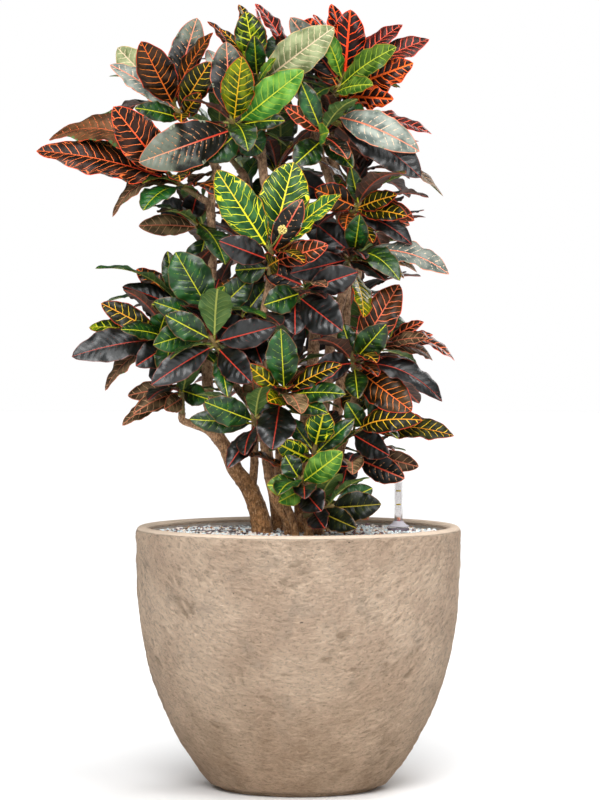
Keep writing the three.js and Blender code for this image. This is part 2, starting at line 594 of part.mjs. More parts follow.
// The float, its rod and the coloured tip, one piece that rises and sinks with the water.
function makeGaugeFloat() {
  const foot = GAUGE_FOOT + GAUGE_LIP_HEIGHT + GAP;
  const top = foot + FLOAT_HEIGHT;
  return gaugeTurned([
    [0, foot],
    [FLOAT_RADIUS - 2, foot],
    [FLOAT_RADIUS, foot + 2],
    [FLOAT_RADIUS, top - 3],
    [FLOAT_RADIUS - 4, top],
    [FLOAT_ROD_RADIUS, top],
    [FLOAT_ROD_RADIUS, FLOAT_TIP_TOP - 6],
    [FLOAT_TIP_RADIUS, FLOAT_TIP_TOP - 5],
    [FLOAT_TIP_RADIUS, FLOAT_TIP_TOP - 1],
    [0, FLOAT_TIP_TOP],
  ]);
}

// ---------------------------------------------------------------- wood

const leanOf = (shoot) => vector(shoot.lean).normalize();

// Where the young stem of a shoot stands on its branch.
function footOf(shoot) {
  return vector(shoot.at).addScaledVector(leanOf(shoot), -SHOOT_REACH);
}

function limbPoints([, , points, shootName]) {
  const path = points.map(vector);
  if (shootName) {
    const shoot = SHOOTS[shootName];
    const foot = footOf(shoot);
    path.push(foot.clone().addScaledVector(leanOf(shoot), -BRANCH_END), foot);
  }
  return path;
}

// A tapered tube with flat ends along a smooth curve through the points.
function taperedTube(path, startRadius, endRadius, sides, steps) {
  const curve = new THREE.CatmullRomCurve3(path, false, "centripetal");
  const frames = curve.computeFrenetFrames(steps);
  const positions = [];
  const triangles = [];
  for (let i = 0; i <= steps; i += 1) {
    const share = i / steps;
    const centre = curve.getPointAt(share);
    const radius = startRadius + (endRadius - startRadius) * share;
    for (let side = 0; side < sides; side += 1) {
      const angle = 2 * Math.PI * side / sides;
      const point = centre.clone()
        .addScaledVector(frames.normals[i], radius * Math.cos(angle))
        .addScaledVector(frames.binormals[i], radius * Math.sin(angle));
      positions.push(point.x, point.y, point.z);
    }
  }
  for (let side = 0; side < sides; side += 1) {
    const next = (side + 1) % sides;
    for (let i = 0; i < steps; i += 1) {
      const low = i * sides;
      const high = low + sides;
      triangles.push(low + side, low + next, high + next);
      triangles.push(low + side, high + next, high + side);
    }
    if (side > 0 && next > 0) {
      triangles.push(0, next, side);
      triangles.push(steps * sides, steps * sides + side, steps * sides + next);
    }
  }
  return solidFrom(positions, triangles);
}

function makeLimb(limb, extra) {
  const path = limbPoints(limb);
  const curve = new THREE.CatmullRomCurve3(path, false, "centripetal");
  const steps = Math.max(1, Math.round(curve.getLength() / WOOD_STEP));
  const sides = limb[0] > BRANCH_RADIUS ? TRUNK_SIDES : BRANCH_SIDES;
  return taperedTube(path, limb[0] + extra, limb[1] + extra, sides, steps);
}

function makeStem(limbs, extra) {
  return wasm.Manifold.union(limbs.map((limb) => makeLimb(limb, extra)));
}

// ---------------------------------------------------------------- leaves

// A listed leaf's shape: where it starts and ends, which way its upper face looks, and its width.
// A leaf that looks slimmer than leaves of its length are is one that is seen turned.
function listedLeaf(shoot, [right, away, up, seen, tone, bow = LEAF_BOW], share) {
  const tip = vector(shoot.at).add(new THREE.Vector3(right, away, up));
  const base = vector(shoot.at).addScaledVector(leanOf(shoot), -LEAF_SPACING * share);
  const chord = tip.clone().sub(base);
  const along = chord.clone().normalize();
  const facing = TO_FRONT.clone().addScaledVector(along, -TO_FRONT.dot(along)).normalize();
  const turnedAway = along.clone().cross(facing);
  if (turnedAway.z < 0) turnedAway.negate();
  const width = Math.max(seen, LEAF_SLIMNESS * chord.length());
  const open = seen / width;
  const face = facing.multiplyScalar(open).addScaledVector(turnedAway, Math.sqrt(1 - open * open));
  return { base, chord, face, width, tone, bow };
}

// An added leaf: it points out and away round the shoot, with its upper face turned up.
function addedLeaf(shoot, number, count, share, seed) {
  const lean = leanOf(shoot);
  const outward = Math.atan2(lean.y, lean.x);
  const spread = ADDED_TURN_SPREAD * (draw(seed) - 0.5);
  const turn = THREE.MathUtils.degToRad(ADDED_TURN * number + spread);
  const climb = count > 1 ? number / (count - 1) : 0.5;
  const height = THREE.MathUtils.degToRad(ADDED_LOWEST + (ADDED_HIGHEST - ADDED_LOWEST) * climb);
  const length = ADDED_LENGTH + ADDED_LENGTH_SPREAD * (draw(seed + 0.5) - 0.5);
  const reach = new THREE.Vector3(
    Math.cos(outward + turn) * Math.cos(height),
    Math.sin(outward + turn) * Math.cos(height),
    Math.sin(height),
  ).addScaledVector(lean, ADDED_LEAN).normalize();
  const base = vector(shoot.at).addScaledVector(lean, -LEAF_SPACING * share);
  const chord = reach.clone().multiplyScalar(length);
  const face = UP.clone().addScaledVector(reach, -UP.dot(reach)).normalize();
  const tone = ADDED_TONES[Math.floor(draw(seed + 0.25) * ADDED_TONES.length)];
  return { base, chord, face, width: ADDED_SLIMNESS * length, tone, bow: 2 * LEAF_BOW };
}

// One place on a leaf: along is 0 at the root and 1 at the tip, across is -1 and 1 at the margins.
function leafPoint(leaf, along, across, halfWidth) {
  const length = leaf.chord.length();
  const side = leaf.chord.clone().cross(leaf.face).normalize();
  const centre = leaf.base.clone()
    .addScaledVector(leaf.chord, along)
    .addScaledVector(leaf.face, 4 * leaf.bow * length * along * (1 - along));
  const slope = 4 * leaf.bow * (1 - 2 * along);
  const normal = leaf.face.clone().addScaledVector(leaf.chord, -slope / length).normalize();
  const wave = LEAF_WAVE * Math.sin(LEAF_WAVE_PACE * along + LEAF_WAVE_SHIFT * across);
  const lift = Math.abs(across) * halfWidth * (LEAF_FOLD + wave);
  const point = centre.addScaledVector(side, across * halfWidth).addScaledVector(normal, lift);
  return { point, normal };
}

// Half the blade's width: slim at the petiole's end, widest before the middle, drawn to the tip.
function bladeHalfWidth(leaf, along) {
  const share = (along - PETIOLE_END) / (1 - PETIOLE_END);
  return Math.max(PETIOLE_HALF_WIDTH, leaf.width / 2 * Math.sin(Math.PI * share ** 0.9) ** 0.8);
}

// A leaf's solid: a thin blade, split alike on both faces, on a three-sided petiole whose root
// starts in the stem. Corners run left, middle, right on the upper face and back on the lower.
function makeLeaf(leaf, extra) {
  const positions = [];
  const triangles = [];
  const put = (point) => positions.push(point.x, point.y, point.z) / 3 - 1;
  const root = put(leaf.base.clone().addScaledVector(leaf.chord,
    -ROOT_DEPTH_IN_STEM / leaf.chord.length()));

  const neck = leafPoint(leaf, PETIOLE_END, 0, 0);
  const neckSide = leaf.chord.clone().cross(neck.normal).normalize();
  const halfWidth = PETIOLE_HALF_WIDTH + extra;
  const upper = neck.point.clone().addScaledVector(neck.normal, extra);
  const [left, right, lower] = [
    upper.clone().addScaledVector(neckSide, -halfWidth),
    upper.clone().addScaledVector(neckSide, halfWidth),
    neck.point.clone().addScaledVector(neck.normal, -PETIOLE_THICKNESS - extra),
  ].map(put);

  const rings = BLADE_STATIONS.map((along) => {
    const half = bladeHalfWidth(leaf, along) + extra / 2;
    const corners = [[-1, 1], [0, 1], [1, 1], [1, -1], [0, -1], [-1, -1]];
    return corners.map(([across, face]) => {
      const { point, normal } = leafPoint(leaf, along, across, half);
      return put(point.addScaledVector(normal, face * (LEAF_THICKNESS + extra) / 2));
    });
  });
  const end = leafPoint(leaf, 1, 0, 0).point;
  const lastStretch = end.clone().sub(leafPoint(leaf, BLADE_STATIONS.at(-1), 0, 0).point).normalize();
  const tip = put(end.addScaledVector(lastStretch, TIP_CLEARANCE * extra));

  const quad = (a, b, c, d) => triangles.push(a, b, c, a, c, d);
  const [first] = rings;
  triangles.push(root, left, right, root, right, lower, root, lower, left);
  triangles.push(left, first[0], first[1], left, first[1], right, right, first[1], first[2]);
  triangles.push(right, first[2], first[3], lower, right, first[3], lower, first[3], first[4]);
  triangles.push(lower, first[4], first[5], left, lower, first[5], left, first[5], first[0]);
  for (let ring = 0; ring + 1 < rings.length; ring += 1) {
    const near = rings[ring];
    const far = rings[ring + 1];
    quad(near[1], near[0], far[0], far[1]);
    quad(near[1], far[1], far[2], near[2]);
    quad(near[4], near[3], far[3], far[4]);
    quad(near[4], far[4], far[5], near[5]);
    quad(near[0], near[5], far[5], far[0]);
    quad(near[2], far[2], far[3], near[3]);
  }
  const last = rings[rings.length - 1];
  for (let place = 0; place < 6; place += 1) {
    triangles.push(tip, last[(place + 1) % 6], last[place]);
  }
  return solidFrom(positions, triangles);
}

// The blade as a thin net, to find where it would pass through another leaf or a branch.
function bladeNet(leaf) {
  const rows = [PETIOLE_END, ...BLADE_STATIONS, 1].map((along) => {
    const half = along < 1 ? bladeHalfWidth(leaf, along) : 0;
    return [-1, 0, 1].map((across) => leafPoint(leaf, along, across, half).point);
  });
  const faces = [];
  const edges = [];
  for (let i = 0; i + 1 < rows.length; i += 1) {
    for (let j = 0; j < 3; j += 1) {
      edges.push([rows[i][j], rows[i + 1][j]]);
      if (j < 2) {
        edges.push([rows[i + 1][j], rows[i + 1][j + 1]]);
        faces.push([rows[i][j], rows[i + 1][j], rows[i + 1][j + 1]]);
        faces.push([rows[i][j], rows[i + 1][j + 1], rows[i][j + 1]]);
      }
    }
  }
  const box = new THREE.Box3().setFromPoints(rows.flat());
  return { faces, edges, box };
}

// Whether a straight line between two points passes through a triangle.
function passesThrough([from, to], [a, b, c]) {
  const way = to.clone().sub(from);
  const ab = b.clone().sub(a);
  const ac = c.clone().sub(a);
  const across = way.clone().cross(ac);
  const scale = ab.dot(across);
  if (Math.abs(scale) < 1e-9) return false;
  const offset = from.clone().sub(a);
  const u = offset.dot(across) / scale;
  if (u < 0 || u > 1) return false;
  const turn = offset.cross(ab);
  const v = way.dot(turn) / scale;
  if (v < 0 || u + v > 1) return false;
  const t = ac.dot(turn) / scale;
  return t >= 0 && t <= 1;
}

function netsCross(one, other) {
  if (!one.box.intersectsBox(other.box)) return 0;
  let count = 0;
  for (const edge of one.edges) count += other.faces.filter((f) => passesThrough(edge, f)).length;
  for (const edge of other.edges) count += one.faces.filter((f) => passesThrough(edge, f)).length;
  return count;
}

// A centre line of wood or of a young stem, as a net with edges alone.
function lineNet(points) {
  const edges = points.slice(1).map((point, i) => [points[i], point]);
  return { faces: [], edges, box: new THREE.Box3().setFromPoints(points) };
}

// How far down the young stem each leaf of a shoot starts, as shares of the stretch that bears
// leaves: the oldest, which hang lowest, start lowest, and the added ones lie between.
function leafShares(listed, more) {
  const rise = ([right, away, up]) => up / Math.hypot(right, away, up);
  const order = listed.map((row, i) => i).sort((a, b) => rise(listed[b]) - rise(listed[a]));
  const count = Math.max(1, listed.length - 1);
  const shares = listed.map((row, i) => order.indexOf(i) / count);
  for (let i = 0; i < more; i += 1) shares.push((more - 0.5 - i) / more);
  return shares;
}

// Every shoot's leaves in turn, each with its tip swung nearer or farther until its blade is clear
// of the branches and of the leaves before it, or to where it crosses them least.
function layOutLeaves() {
  const nets = [];
  for (const limbs of Object.values(STEMS)) {
    for (const limb of limbs) {
      const curve = new THREE.CatmullRomCurve3(limbPoints(limb), false, "centripetal");
      nets.push(lineNet(curve.getSpacedPoints(LINE_STRETCHES)));
    }
  }
  const layout = {};
  let seed = 0;
  let crossings = 0;
  for (const [name, shoot] of Object.entries(SHOOTS)) {
    layout[name] = [];
    const listed = shoot.leaves ?? [];
    const more = shoot.more ?? 0;
    const shares = leafShares(listed, more);
    for (let number = 0; number < listed.length + more; number += 1) {
      seed += 1;
      const isListed = number < listed.length;
      const first = isListed
        ? listedLeaf(shoot, listed[number], shares[number])
        : addedLeaf(shoot, number - listed.length, more, shares[number], seed);
      let best = null;
      for (const swing of SWINGS) {
        let leaf = { ...first, chord: first.chord.clone().add(new THREE.Vector3(0, swing, 0)) };
        if (isListed) {
          const row = [...listed[number]];
          row[1] += swing;
          leaf = listedLeaf(shoot, row, shares[number]);
        } else {
          leaf.face = UP.clone().addScaledVector(leaf.chord, -leaf.chord.z / leaf.chord.lengthSq());
          leaf.face.normalize();
        }
        const net = bladeNet(leaf);
        const crossed = nets.reduce((sum, other) => sum + netsCross(net, other), 0);
        if (!best || crossed < best.crossed) best = { leaf, net, crossed };
        if (crossed === 0) break;
      }
      crossings += best.crossed > 0 ? 1 : 0;
      layout[name].push(best.leaf);
      nets.push(best.net);
    }
  }
  console.log(`${seed} leaves, ${crossings} of them still meet another`);
  return layout;
}

// ---------------------------------------------------------------- shoots

function youngStem(shoot, extra) {
  const lean = leanOf(shoot);
  const foot = footOf(shoot).addScaledVector(lean, GAP - extra);
  const tip = vector(shoot.at).addScaledVector(lean, YOUNG_STEM_END + extra);
  return taperedTube([foot, tip], YOUNG_STEM_FOOT_RADIUS + extra, YOUNG_STEM_TIP_RADIUS + extra,
    YOUNG_STEM_SIDES, 1);
}

// A shoot keeps clear of the wood and of every shoot before it.
function makeShoots(layout, wood) {
  const made = {};
  const kept = [];
  for (const [name, shoot] of Object.entries(SHOOTS)) {
    const leaves = layout[name];
    const whole = wasm.Manifold.union([youngStem(shoot, 0), ...leaves.map((leaf) => makeLeaf(leaf, 0))]);
    const reach = boxOf(whole);
    const near = kept.filter((other) => boxOf(other).intersectsBox(reach));
    const clear = whole.subtract(wasm.Manifold.union([wood, ...near]));
    made[name] = largestBody(clear);
    const lost = 100 * (1 - made[name].volume() / whole.volume());
    if (lost > 3) console.log(`${name}: ${lost.toFixed(1)} % cut away`);
    kept.push(youngStem(shoot, GAP), ...leaves.map((leaf) => makeLeaf(leaf, LEAF_CLEARANCE)));
  }
  return made;
}

function boxOf(solid) {
  const { min, max } = solid.boundingBox();
  return new THREE.Box3(vector(min), vector(max));
}

// ---------------------------------------------------------------- assembly

const finish = (color, roughness, more = {}) =>
  new THREE.MeshStandardMaterial({ color, roughness, metalness: 0, ...more });

const plant = new THREE.Group();

function add(name, solid, material) {
  const mesh = new THREE.Mesh(geometryFrom(solid), material);
  mesh.name = name;
  plant.add(mesh);
}

const woodFinish = finish("#8a6a4a", 0.85);
const fatWood = wasm.Manifold.union(Object.values(STEMS).map((limbs) => makeStem(limbs, GAP)));

add("pot", makePot(), finish("#bba68c", 0.9));
add("granulate_fill", makeGranulateFill(), finish("#a89a8c", 0.95));
add("root_ball", makeRootBall(fatWood), finish("#4a382a", 1));
add("granulate_top", makeGranulateTop(fatWood), finish("#c9c4ba", 0.95));
add("gauge_sleeve", makeGaugeSleeve(), finish("#55505c", 0.5));
add("gauge_base_ring", makeGaugeRing(), finish("#4a4050", 0.5));
add("gauge_view_tube", makeGaugeTube(), finish("#dcdfe2", 0.2, { transparent: true, opacity: 0.5 }));
add("gauge_collar", makeGaugeCollar(), finish("#b9b8c6", 0.3));
add("gauge_float", makeGaugeFloat(), finish("#c8432c", 0.5));

const woodBefore = [];
for (const [name, limbs] of Object.entries(STEMS)) {
  let stem = makeStem(limbs, 0);
  const whole = stem.volume();
  if (woodBefore.length) stem = largestBody(stem.subtract(wasm.Manifold.union(woodBefore)));
  const lost = 100 * (1 - stem.volume() / whole);
  if (lost > 0.5) console.log(`${name}: ${lost.toFixed(1)} % cut away`);
  woodBefore.push(makeStem(limbs, GAP));
  add(name, stem, woodFinish);
}

const leafLayout = layOutLeaves();
for (const [name, solid] of Object.entries(makeShoots(leafLayout, fatWood))) {
  const mainTone = leafLayout[name][0].tone;
  add(name, solid, finish(TONE_COLOURS[mainTone], 0.45));
}

export default plant;
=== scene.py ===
# %% [markdown]
# # A potted croton
# A croton is a bushy house plant with several woody stems and broad, leathery leaves, whose veins
# are drawn in yellow, orange or red. It grows in a rounded planter with a rough stone look, under a
# layer of mineral granules, beside a gauge that shows the water level.
# The solids that were packed before give every place and size. Each visible one is replaced here by
# a finer surface that keeps its form, because a solid with few faces has no room for veins, bark or
# chisel marks.

import math
from types import SimpleNamespace

import bpy
import numpy as np
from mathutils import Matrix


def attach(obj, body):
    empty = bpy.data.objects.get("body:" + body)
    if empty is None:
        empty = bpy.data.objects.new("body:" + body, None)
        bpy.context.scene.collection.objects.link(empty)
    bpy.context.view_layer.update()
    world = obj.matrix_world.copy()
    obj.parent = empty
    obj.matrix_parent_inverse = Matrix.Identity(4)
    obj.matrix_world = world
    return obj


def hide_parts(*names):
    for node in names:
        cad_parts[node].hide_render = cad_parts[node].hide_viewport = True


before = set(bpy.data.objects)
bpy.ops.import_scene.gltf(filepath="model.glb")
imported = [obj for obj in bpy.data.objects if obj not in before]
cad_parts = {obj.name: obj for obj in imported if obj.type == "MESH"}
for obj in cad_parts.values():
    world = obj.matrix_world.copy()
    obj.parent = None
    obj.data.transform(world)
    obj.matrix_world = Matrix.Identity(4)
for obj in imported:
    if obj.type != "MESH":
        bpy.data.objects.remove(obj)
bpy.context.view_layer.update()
MM = 0.001

# %% [markdown]
# ## The view
# The picture was taken with a long lens from a little above the planter's rim. A camera 4.56 m away
# and 0.615 m up shows the rim as an ellipse about 21 picture rows high. It looks at the middle of the
# picture, a little lower than the lens, so that no shift is needed.

# %% Camera
CAMERA_PLACE = (0.002, -4.56, 0.615)
CAMERA_AIM = (0.002, 0.0, 0.4793)
PICTURE_HEIGHT = 0.988  # metres that the picture's long side covers at the plant's middle
SENSOR = 36.0

camera = bpy.data.objects.new("camera", bpy.data.cameras.new("camera"))
bpy.context.scene.collection.objects.link(camera)
bpy.context.scene.camera = camera
to_aim = np.array(CAMERA_AIM) - np.array(CAMERA_PLACE)
camera.location = CAMERA_PLACE
camera.rotation_euler = (math.pi / 2 + math.atan2(to_aim[2], to_aim[1]), 0, 0)
camera.data.sensor_width = SENSOR
camera.data.lens = SENSOR * np.linalg.norm(to_aim) / PICTURE_HEIGHT
camera.data.clip_end = 100
print("lens in millimetres:", round(camera.data.lens, 1))

# %% [markdown]
# ## Shapes from numbers
# Every new piece is a surface worked out with numpy: whole arrays of points go into a mesh at once.
# A grid that closes round one of its directions, with a point at each end, gives tubes, leaves and
# turned pieces alike.


# %% A mesh from arrays
def make_piece(name, points, faces, finishes, marks=None, which=None, sharp=None):
    """Builds a mesh object from (count, 3) points in metres and a list of (count, corners) arrays.

    marks are named values for each point. which gives each face its finish, as a number."""
    mesh = bpy.data.meshes.new(name)
    corners = np.concatenate([block.ravel() for block in faces])
    sizes = np.concatenate([np.full(len(block), block.shape[1]) for block in faces])
    mesh.vertices.add(len(points))
    mesh.vertices.foreach_set("co", np.asarray(points, np.float32).ravel())
    mesh.loops.add(len(corners))
    mesh.loops.foreach_set("vertex_index", corners.astype(np.int32))
    mesh.polygons.add(len(sizes))
    starts = np.concatenate([[0], np.cumsum(sizes)[:-1]])
    mesh.polygons.foreach_set("loop_start", starts.astype(np.int32))
    for finish in finishes:
        mesh.materials.append(finish)
    if which is not None:
        mesh.polygons.foreach_set("material_index", np.asarray(which, np.int32))
    mesh.update(calc_edges=True)
    for label, values in (marks or {}).items():
        kind, field = ("FLOAT_VECTOR", "vector") if values.ndim == 2 else ("FLOAT", "value")
        layer = mesh.attributes.new(label, kind, "POINT")
        layer.data.foreach_set(field, np.asarray(values, np.float32).ravel())
    mesh.shade_smooth()
    if sharp is not None:
        mesh.set_sharp_from_angle(angle=math.radians(sharp))
    piece = bpy.data.objects.new(name, mesh)
    bpy.context.scene.collection.objects.link(piece)
    return piece


def ring_faces(rows, columns, poles=True):
    """Faces of a closed tube of rows x columns points. With poles, two more points close its ends:
    the first one is numbered rows * columns, the last one is the next."""
    row, column = np.meshgrid(np.arange(rows - 1), np.arange(columns), indexing="ij")
    near = row * columns + column
    side = row * columns + (column + 1) % columns
    quads = np.stack([near, side, side + columns, near + columns], axis=-1).reshape(-1, 4)
    if not poles:
        return [quads]
    ring = np.arange(columns)
    after = (ring + 1) % columns
    last = (rows - 1) * columns
    first_pole = np.full(columns, rows * columns)
    start = np.stack([first_pole, after, ring], axis=-1)
    end = np.stack([last + ring, last + after, first_pole + 1], axis=-1)
    return [quads, start, end]


def unit(vectors):
    return vectors / np.linalg.norm(vectors, axis=-1, keepdims=True)


def circle(columns):
    """The angles of columns that are spread evenly round a full turn."""
    return 2 * np.pi * np.arange(columns) / columns


def with_ends(points, ends):
    """A grid of points as one list, followed by the two points that close it."""
    return np.concatenate([points.reshape(-1, 3), ends])


def join_parts(parts):
    """Puts parts of (points, faces, marks) into one set of arrays, with the faces renumbered."""
    first = np.cumsum([0] + [len(part[0]) for part in parts])
    points = np.concatenate([part[0] for part in parts])
    faces = [block + start for part, start in zip(parts, first, strict=False) for block in part[1]]
    marks = {key: np.concatenate([part[2][key] for part in parts]) for key in parts[0][2]}
    return points, faces, marks


# %% Noise and chance
CHANCE_STEP = 12.9898
CHANCE_WIDTH = 43758.5453
CELL_STEPS = np.array([1.0, 57.31, 113.97])  # what a step right, away and up adds to a count


def chance(numbers):
    """A repeatable number from 0 to 1 for each count: the part of a wide sine after the point."""
    wide = np.sin(np.asarray(numbers, float) * CHANCE_STEP) * CHANCE_WIDTH
    return wide - np.floor(wide)


def noise(places, seed=0.0):
    """Smooth noise from -1 to 1: chance values at the corners of unit cubes, blended inside."""
    cell = np.floor(places)
    inside = places - cell
    blend = inside * inside * (3 - 2 * inside)
    total = np.zeros(places.shape[:-1])
    for corner in np.ndindex(2, 2, 2):
        value = chance((cell + corner) @ CELL_STEPS + seed)
        weight = np.prod(np.where(corner, blend, 1 - blend), axis=-1)
        total += weight * value
    return 2 * total - 1


def ease(value, start, end):
    """0 before start, 1 after end, and a smooth step between."""
    share = np.clip((value - start) / (end - start), 0, 1)
    return share * share * (3 - 2 * share)


# %% [markdown]
# ## Finishes
# A finish is a small tree of nodes. These helpers keep such a tree short: a call makes a node, sets
# its values and links what comes from another node.


# %% Node helpers
def fill_inputs(tree, made, inputs):
    """Sets a node's inputs. A value that is another node's output is linked."""
    for label, value in inputs.items():
        if isinstance(value, bpy.types.NodeSocket):
            tree.links.new(value, made.inputs[label])
        else:
            made.inputs[label].default_value = value


def node(tree, kind, inputs=None, output=0, **settings):
    """Adds a node, and gives back one of its outputs. Inputs are values or other outputs."""
    made = tree.nodes.new("ShaderNode" + kind)
    for label, value in settings.items():
        setattr(made, label, value)
    fill_inputs(tree, made, inputs or {})
    return made.outputs[output]


def maths(tree, operation, a, b=0.0, c=0.0):
    return node(tree, "Math", {0: a, 1: b, 2: c}, operation=operation)


def fade(tree, value, start, end, low=0.0, high=1.0):
    """low where value is at start, high where it is at end, and a smooth step between."""
    inputs = {"Value": value, "From Min": start, "From Max": end, "To Min": low, "To Max": high}
    return node(tree, "MapRange", inputs, interpolation_type="SMOOTHSTEP")


def colour(red, green, blue):
    """A screen colour of 0 to 255 as the linear light that shaders use."""
    screen = np.array([red, green, blue]) / 255
    linear = np.where(screen <= 0.04045, screen / 12.92, ((screen + 0.055) / 1.055) ** 2.4)
    return (*linear.tolist(), 1.0)


def mix(tree, share, below, above):
    return node(tree, "Mix", {"Factor": share, 6: below, 7: above}, output=2, data_type="RGBA")


def shades(tree, value, start, end, main, other):
    """The colour main where value is at start, other where it is at end, and a blend between."""
    return mix(tree, fade(tree, value, start, end), colour(*main), colour(*other))


def coats(tree, base, *layers):
    """Lays colours over base in turn. A layer is a value, where it starts to show and where it shows
    most, the share that it covers there, and its colour."""
    for value, start, end, most, over in layers:
        base = mix(tree, fade(tree, value, start, end, 0, most), base, colour(*over))
    return base


def cloud(tree, where, scale, detail=3.0, rough=0.55, distortion=0.0):
    """Noise from 0 to 1. scale is spots per metre where the place is in metres."""
    inputs = {"Vector": where, "Scale": scale, "Detail": detail, "Roughness": rough,
              "Distortion": distortion}
    return node(tree, "TexNoise", inputs)


def place_on_object(tree, stretch=(1.0, 1.0, 1.0), turn=(0.0, 0.0, 0.0)):
    where = node(tree, "TexCoord", output=3)
    return node(tree, "Mapping", {"Vector": where, "Scale": stretch, "Rotation": turn})


def bump(tree, height, depth, strength=1.0, under=None):
    inputs = {"Height": height, "Distance": depth, "Strength": strength}
    if under is not None:
        inputs["Normal"] = under
    return node(tree, "Bump", inputs)


def attribute(tree, label, output=2):
    """A named value that the mesh carries: output 2 is a number and output 1 a vector."""
    return node(tree, "Attribute", attribute_name=label, output=output)


def start_finish(name):
    """A new material, and the tree to add nodes to."""
    material = bpy.data.materials.new(name)
    material.use_nodes = True
    return material, material.node_tree


def end_finish(material, base, rough, normal=None, others=None):
    """Gives the material's shader its colour, its roughness and whatever else it has."""
    tree = material.node_tree
    inputs = {"Base Color": base, "Roughness": rough} | (others or {})
    if normal is not None:
        inputs["Normal"] = normal
    fill_inputs(tree, tree.nodes["Principled BSDF"], inputs)
    return material


# %% [markdown]
# ## The planter
# The planter is cast in a mould that was beaten from flaking stone, so its wall has short flat
# wrinkles all round, while its rim is smooth, with a paler colour that is partly its own and partly
# painted light on its lit top. It is a profile turned round the middle. The wrinkles are real relief:
# ridged noise, squashed in height and warped so that no two run the same way. Finer grain is left to
# the finish.

# %% Planter: profile
POT_RADIUS = 200 * MM
POT_HEIGHT = 324 * MM
POT_WALL = 15 * MM
POT_FLOOR = 22 * MM
POT_FOOT = 93 * MM
POT_BASE = 104 * MM  # where the wall would meet the ground
POT_CURVE = 2.9
POT_EDGE = 6 * MM
POT_COLUMNS = 520
POT_FOOT_ROUND = 7 * MM
POT_SHOWN_DEPTH = 302 * MM  # the inside shows down to here, so its rows lie closer
POT_HIDDEN_TOP = 290 * MM
POT_HIDDEN_FOOT = 40 * MM


def wall_radius(height):
    """The wall is full at the rim and turns in ever faster towards the ground."""
    return POT_RADIUS - (POT_RADIUS - POT_BASE) * (1 - height / POT_HEIGHT) ** POT_CURVE


def arc(centre_radius, centre_height, radius, start, end, count):
    angle = np.radians(np.linspace(start, end, count))
    return centre_radius + radius * np.cos(angle), centre_height + radius * np.sin(angle)


def planter_profile():
    """Radius, height and kind of each row: 0 on the outside, 1 on the rim, 2 on the inside."""
    inner_rim = POT_RADIUS - POT_WALL
    edge_height = POT_HEIGHT - POT_EDGE
    wall_top = edge_height - 1 * MM
    up = np.linspace(POT_FOOT_ROUND, wall_top, 150)
    down = np.append(np.linspace(wall_top, POT_SHOWN_DEPTH, 10),
                     np.linspace(POT_HIDDEN_TOP, POT_HIDDEN_FOOT, 11))
    foot = np.linspace(0.2, 1, 3) * POT_FOOT
    floor = np.linspace(1, 0.2, 3) * (wall_radius(POT_HIDDEN_FOOT) - POT_WALL - 14 * MM)
    parts = [
        (foot, np.zeros(3), 0),
        (*arc(POT_FOOT + 1 * MM, POT_FOOT_ROUND, POT_FOOT_ROUND, -88, -20, 5), 0),
        (wall_radius(up), up, 0),
        (*arc(POT_RADIUS - POT_EDGE, edge_height, POT_EDGE, 0, 90, 7), 1),
        (*arc(inner_rim + POT_EDGE, edge_height, POT_EDGE, 90, 180, 7), 1),
        (wall_radius(down) - POT_WALL, down, 2),
        (floor, np.full(3, POT_FLOOR), 2),
    ]
    radius = np.concatenate([part[0] for part in parts])
    height = np.concatenate([part[1] for part in parts])
    kind = np.concatenate([np.full(len(part[0]), float(part[2])) for part in parts])
    return radius, height, kind


# %% Planter: chiselled relief
WRINKLE_SIZE = 17 * MM
WRINKLE_FLATNESS = 1.9  # how much longer than high a wrinkle is
WRINKLE_TILT = 0.6  # how steeply the wrinkles climb away from the front
WRINKLE_DEPTH = 2.2 * MM
WARP = 9 * MM
HOLLOW_SIZE = 34 * MM
WARP_SIZE = 26 * MM
CALM_SIZE = 60 * MM
INNER_RELIEF = 0.15  # share of the relief that the inside keeps
LIP_UNEVENNESS = 0.15 * MM


def chisel_relief(radius, height, angle):
    """A ridged noise and two plain ones below it, squashed in height and warped, over soft hollows.

    Ridged noise is 1 - |noise|: it has sharp crests, as the lips of small flakes have. The height is
    counted from a plane that is tilted towards the front, so the wrinkles slant at the sides. Also
    returns the place counted in that way, for the finish."""
    place = np.stack([radius * np.cos(angle), radius * np.sin(angle), height], axis=-1)
    warp = np.stack([noise(place / WARP_SIZE, seed) for seed in (3.1, 5.7, 9.2)], axis=-1)
    flat = place.copy()
    flat[..., 2] = (flat[..., 2] - WRINKLE_TILT * flat[..., 1]) * WRINKLE_FLATNESS
    bent = flat + WARP * warp
    relief = 0.7 * noise(place / HOLLOW_SIZE, 12.2)
    relief = relief + 0.6 * (1 - 2 * np.abs(noise(bent / WRINKLE_SIZE, 20.5)))
    relief = relief + 0.6 * noise(bent * 2.1 / WRINKLE_SIZE, 21.5)
    relief = relief + 0.4 * noise(bent * 3.7 / WRINKLE_SIZE, 22.5)
    calm = 0.6 + 0.4 * noise(place / CALM_SIZE, 31.0)
    return relief * np.clip(calm, 0.35, 1.0), flat


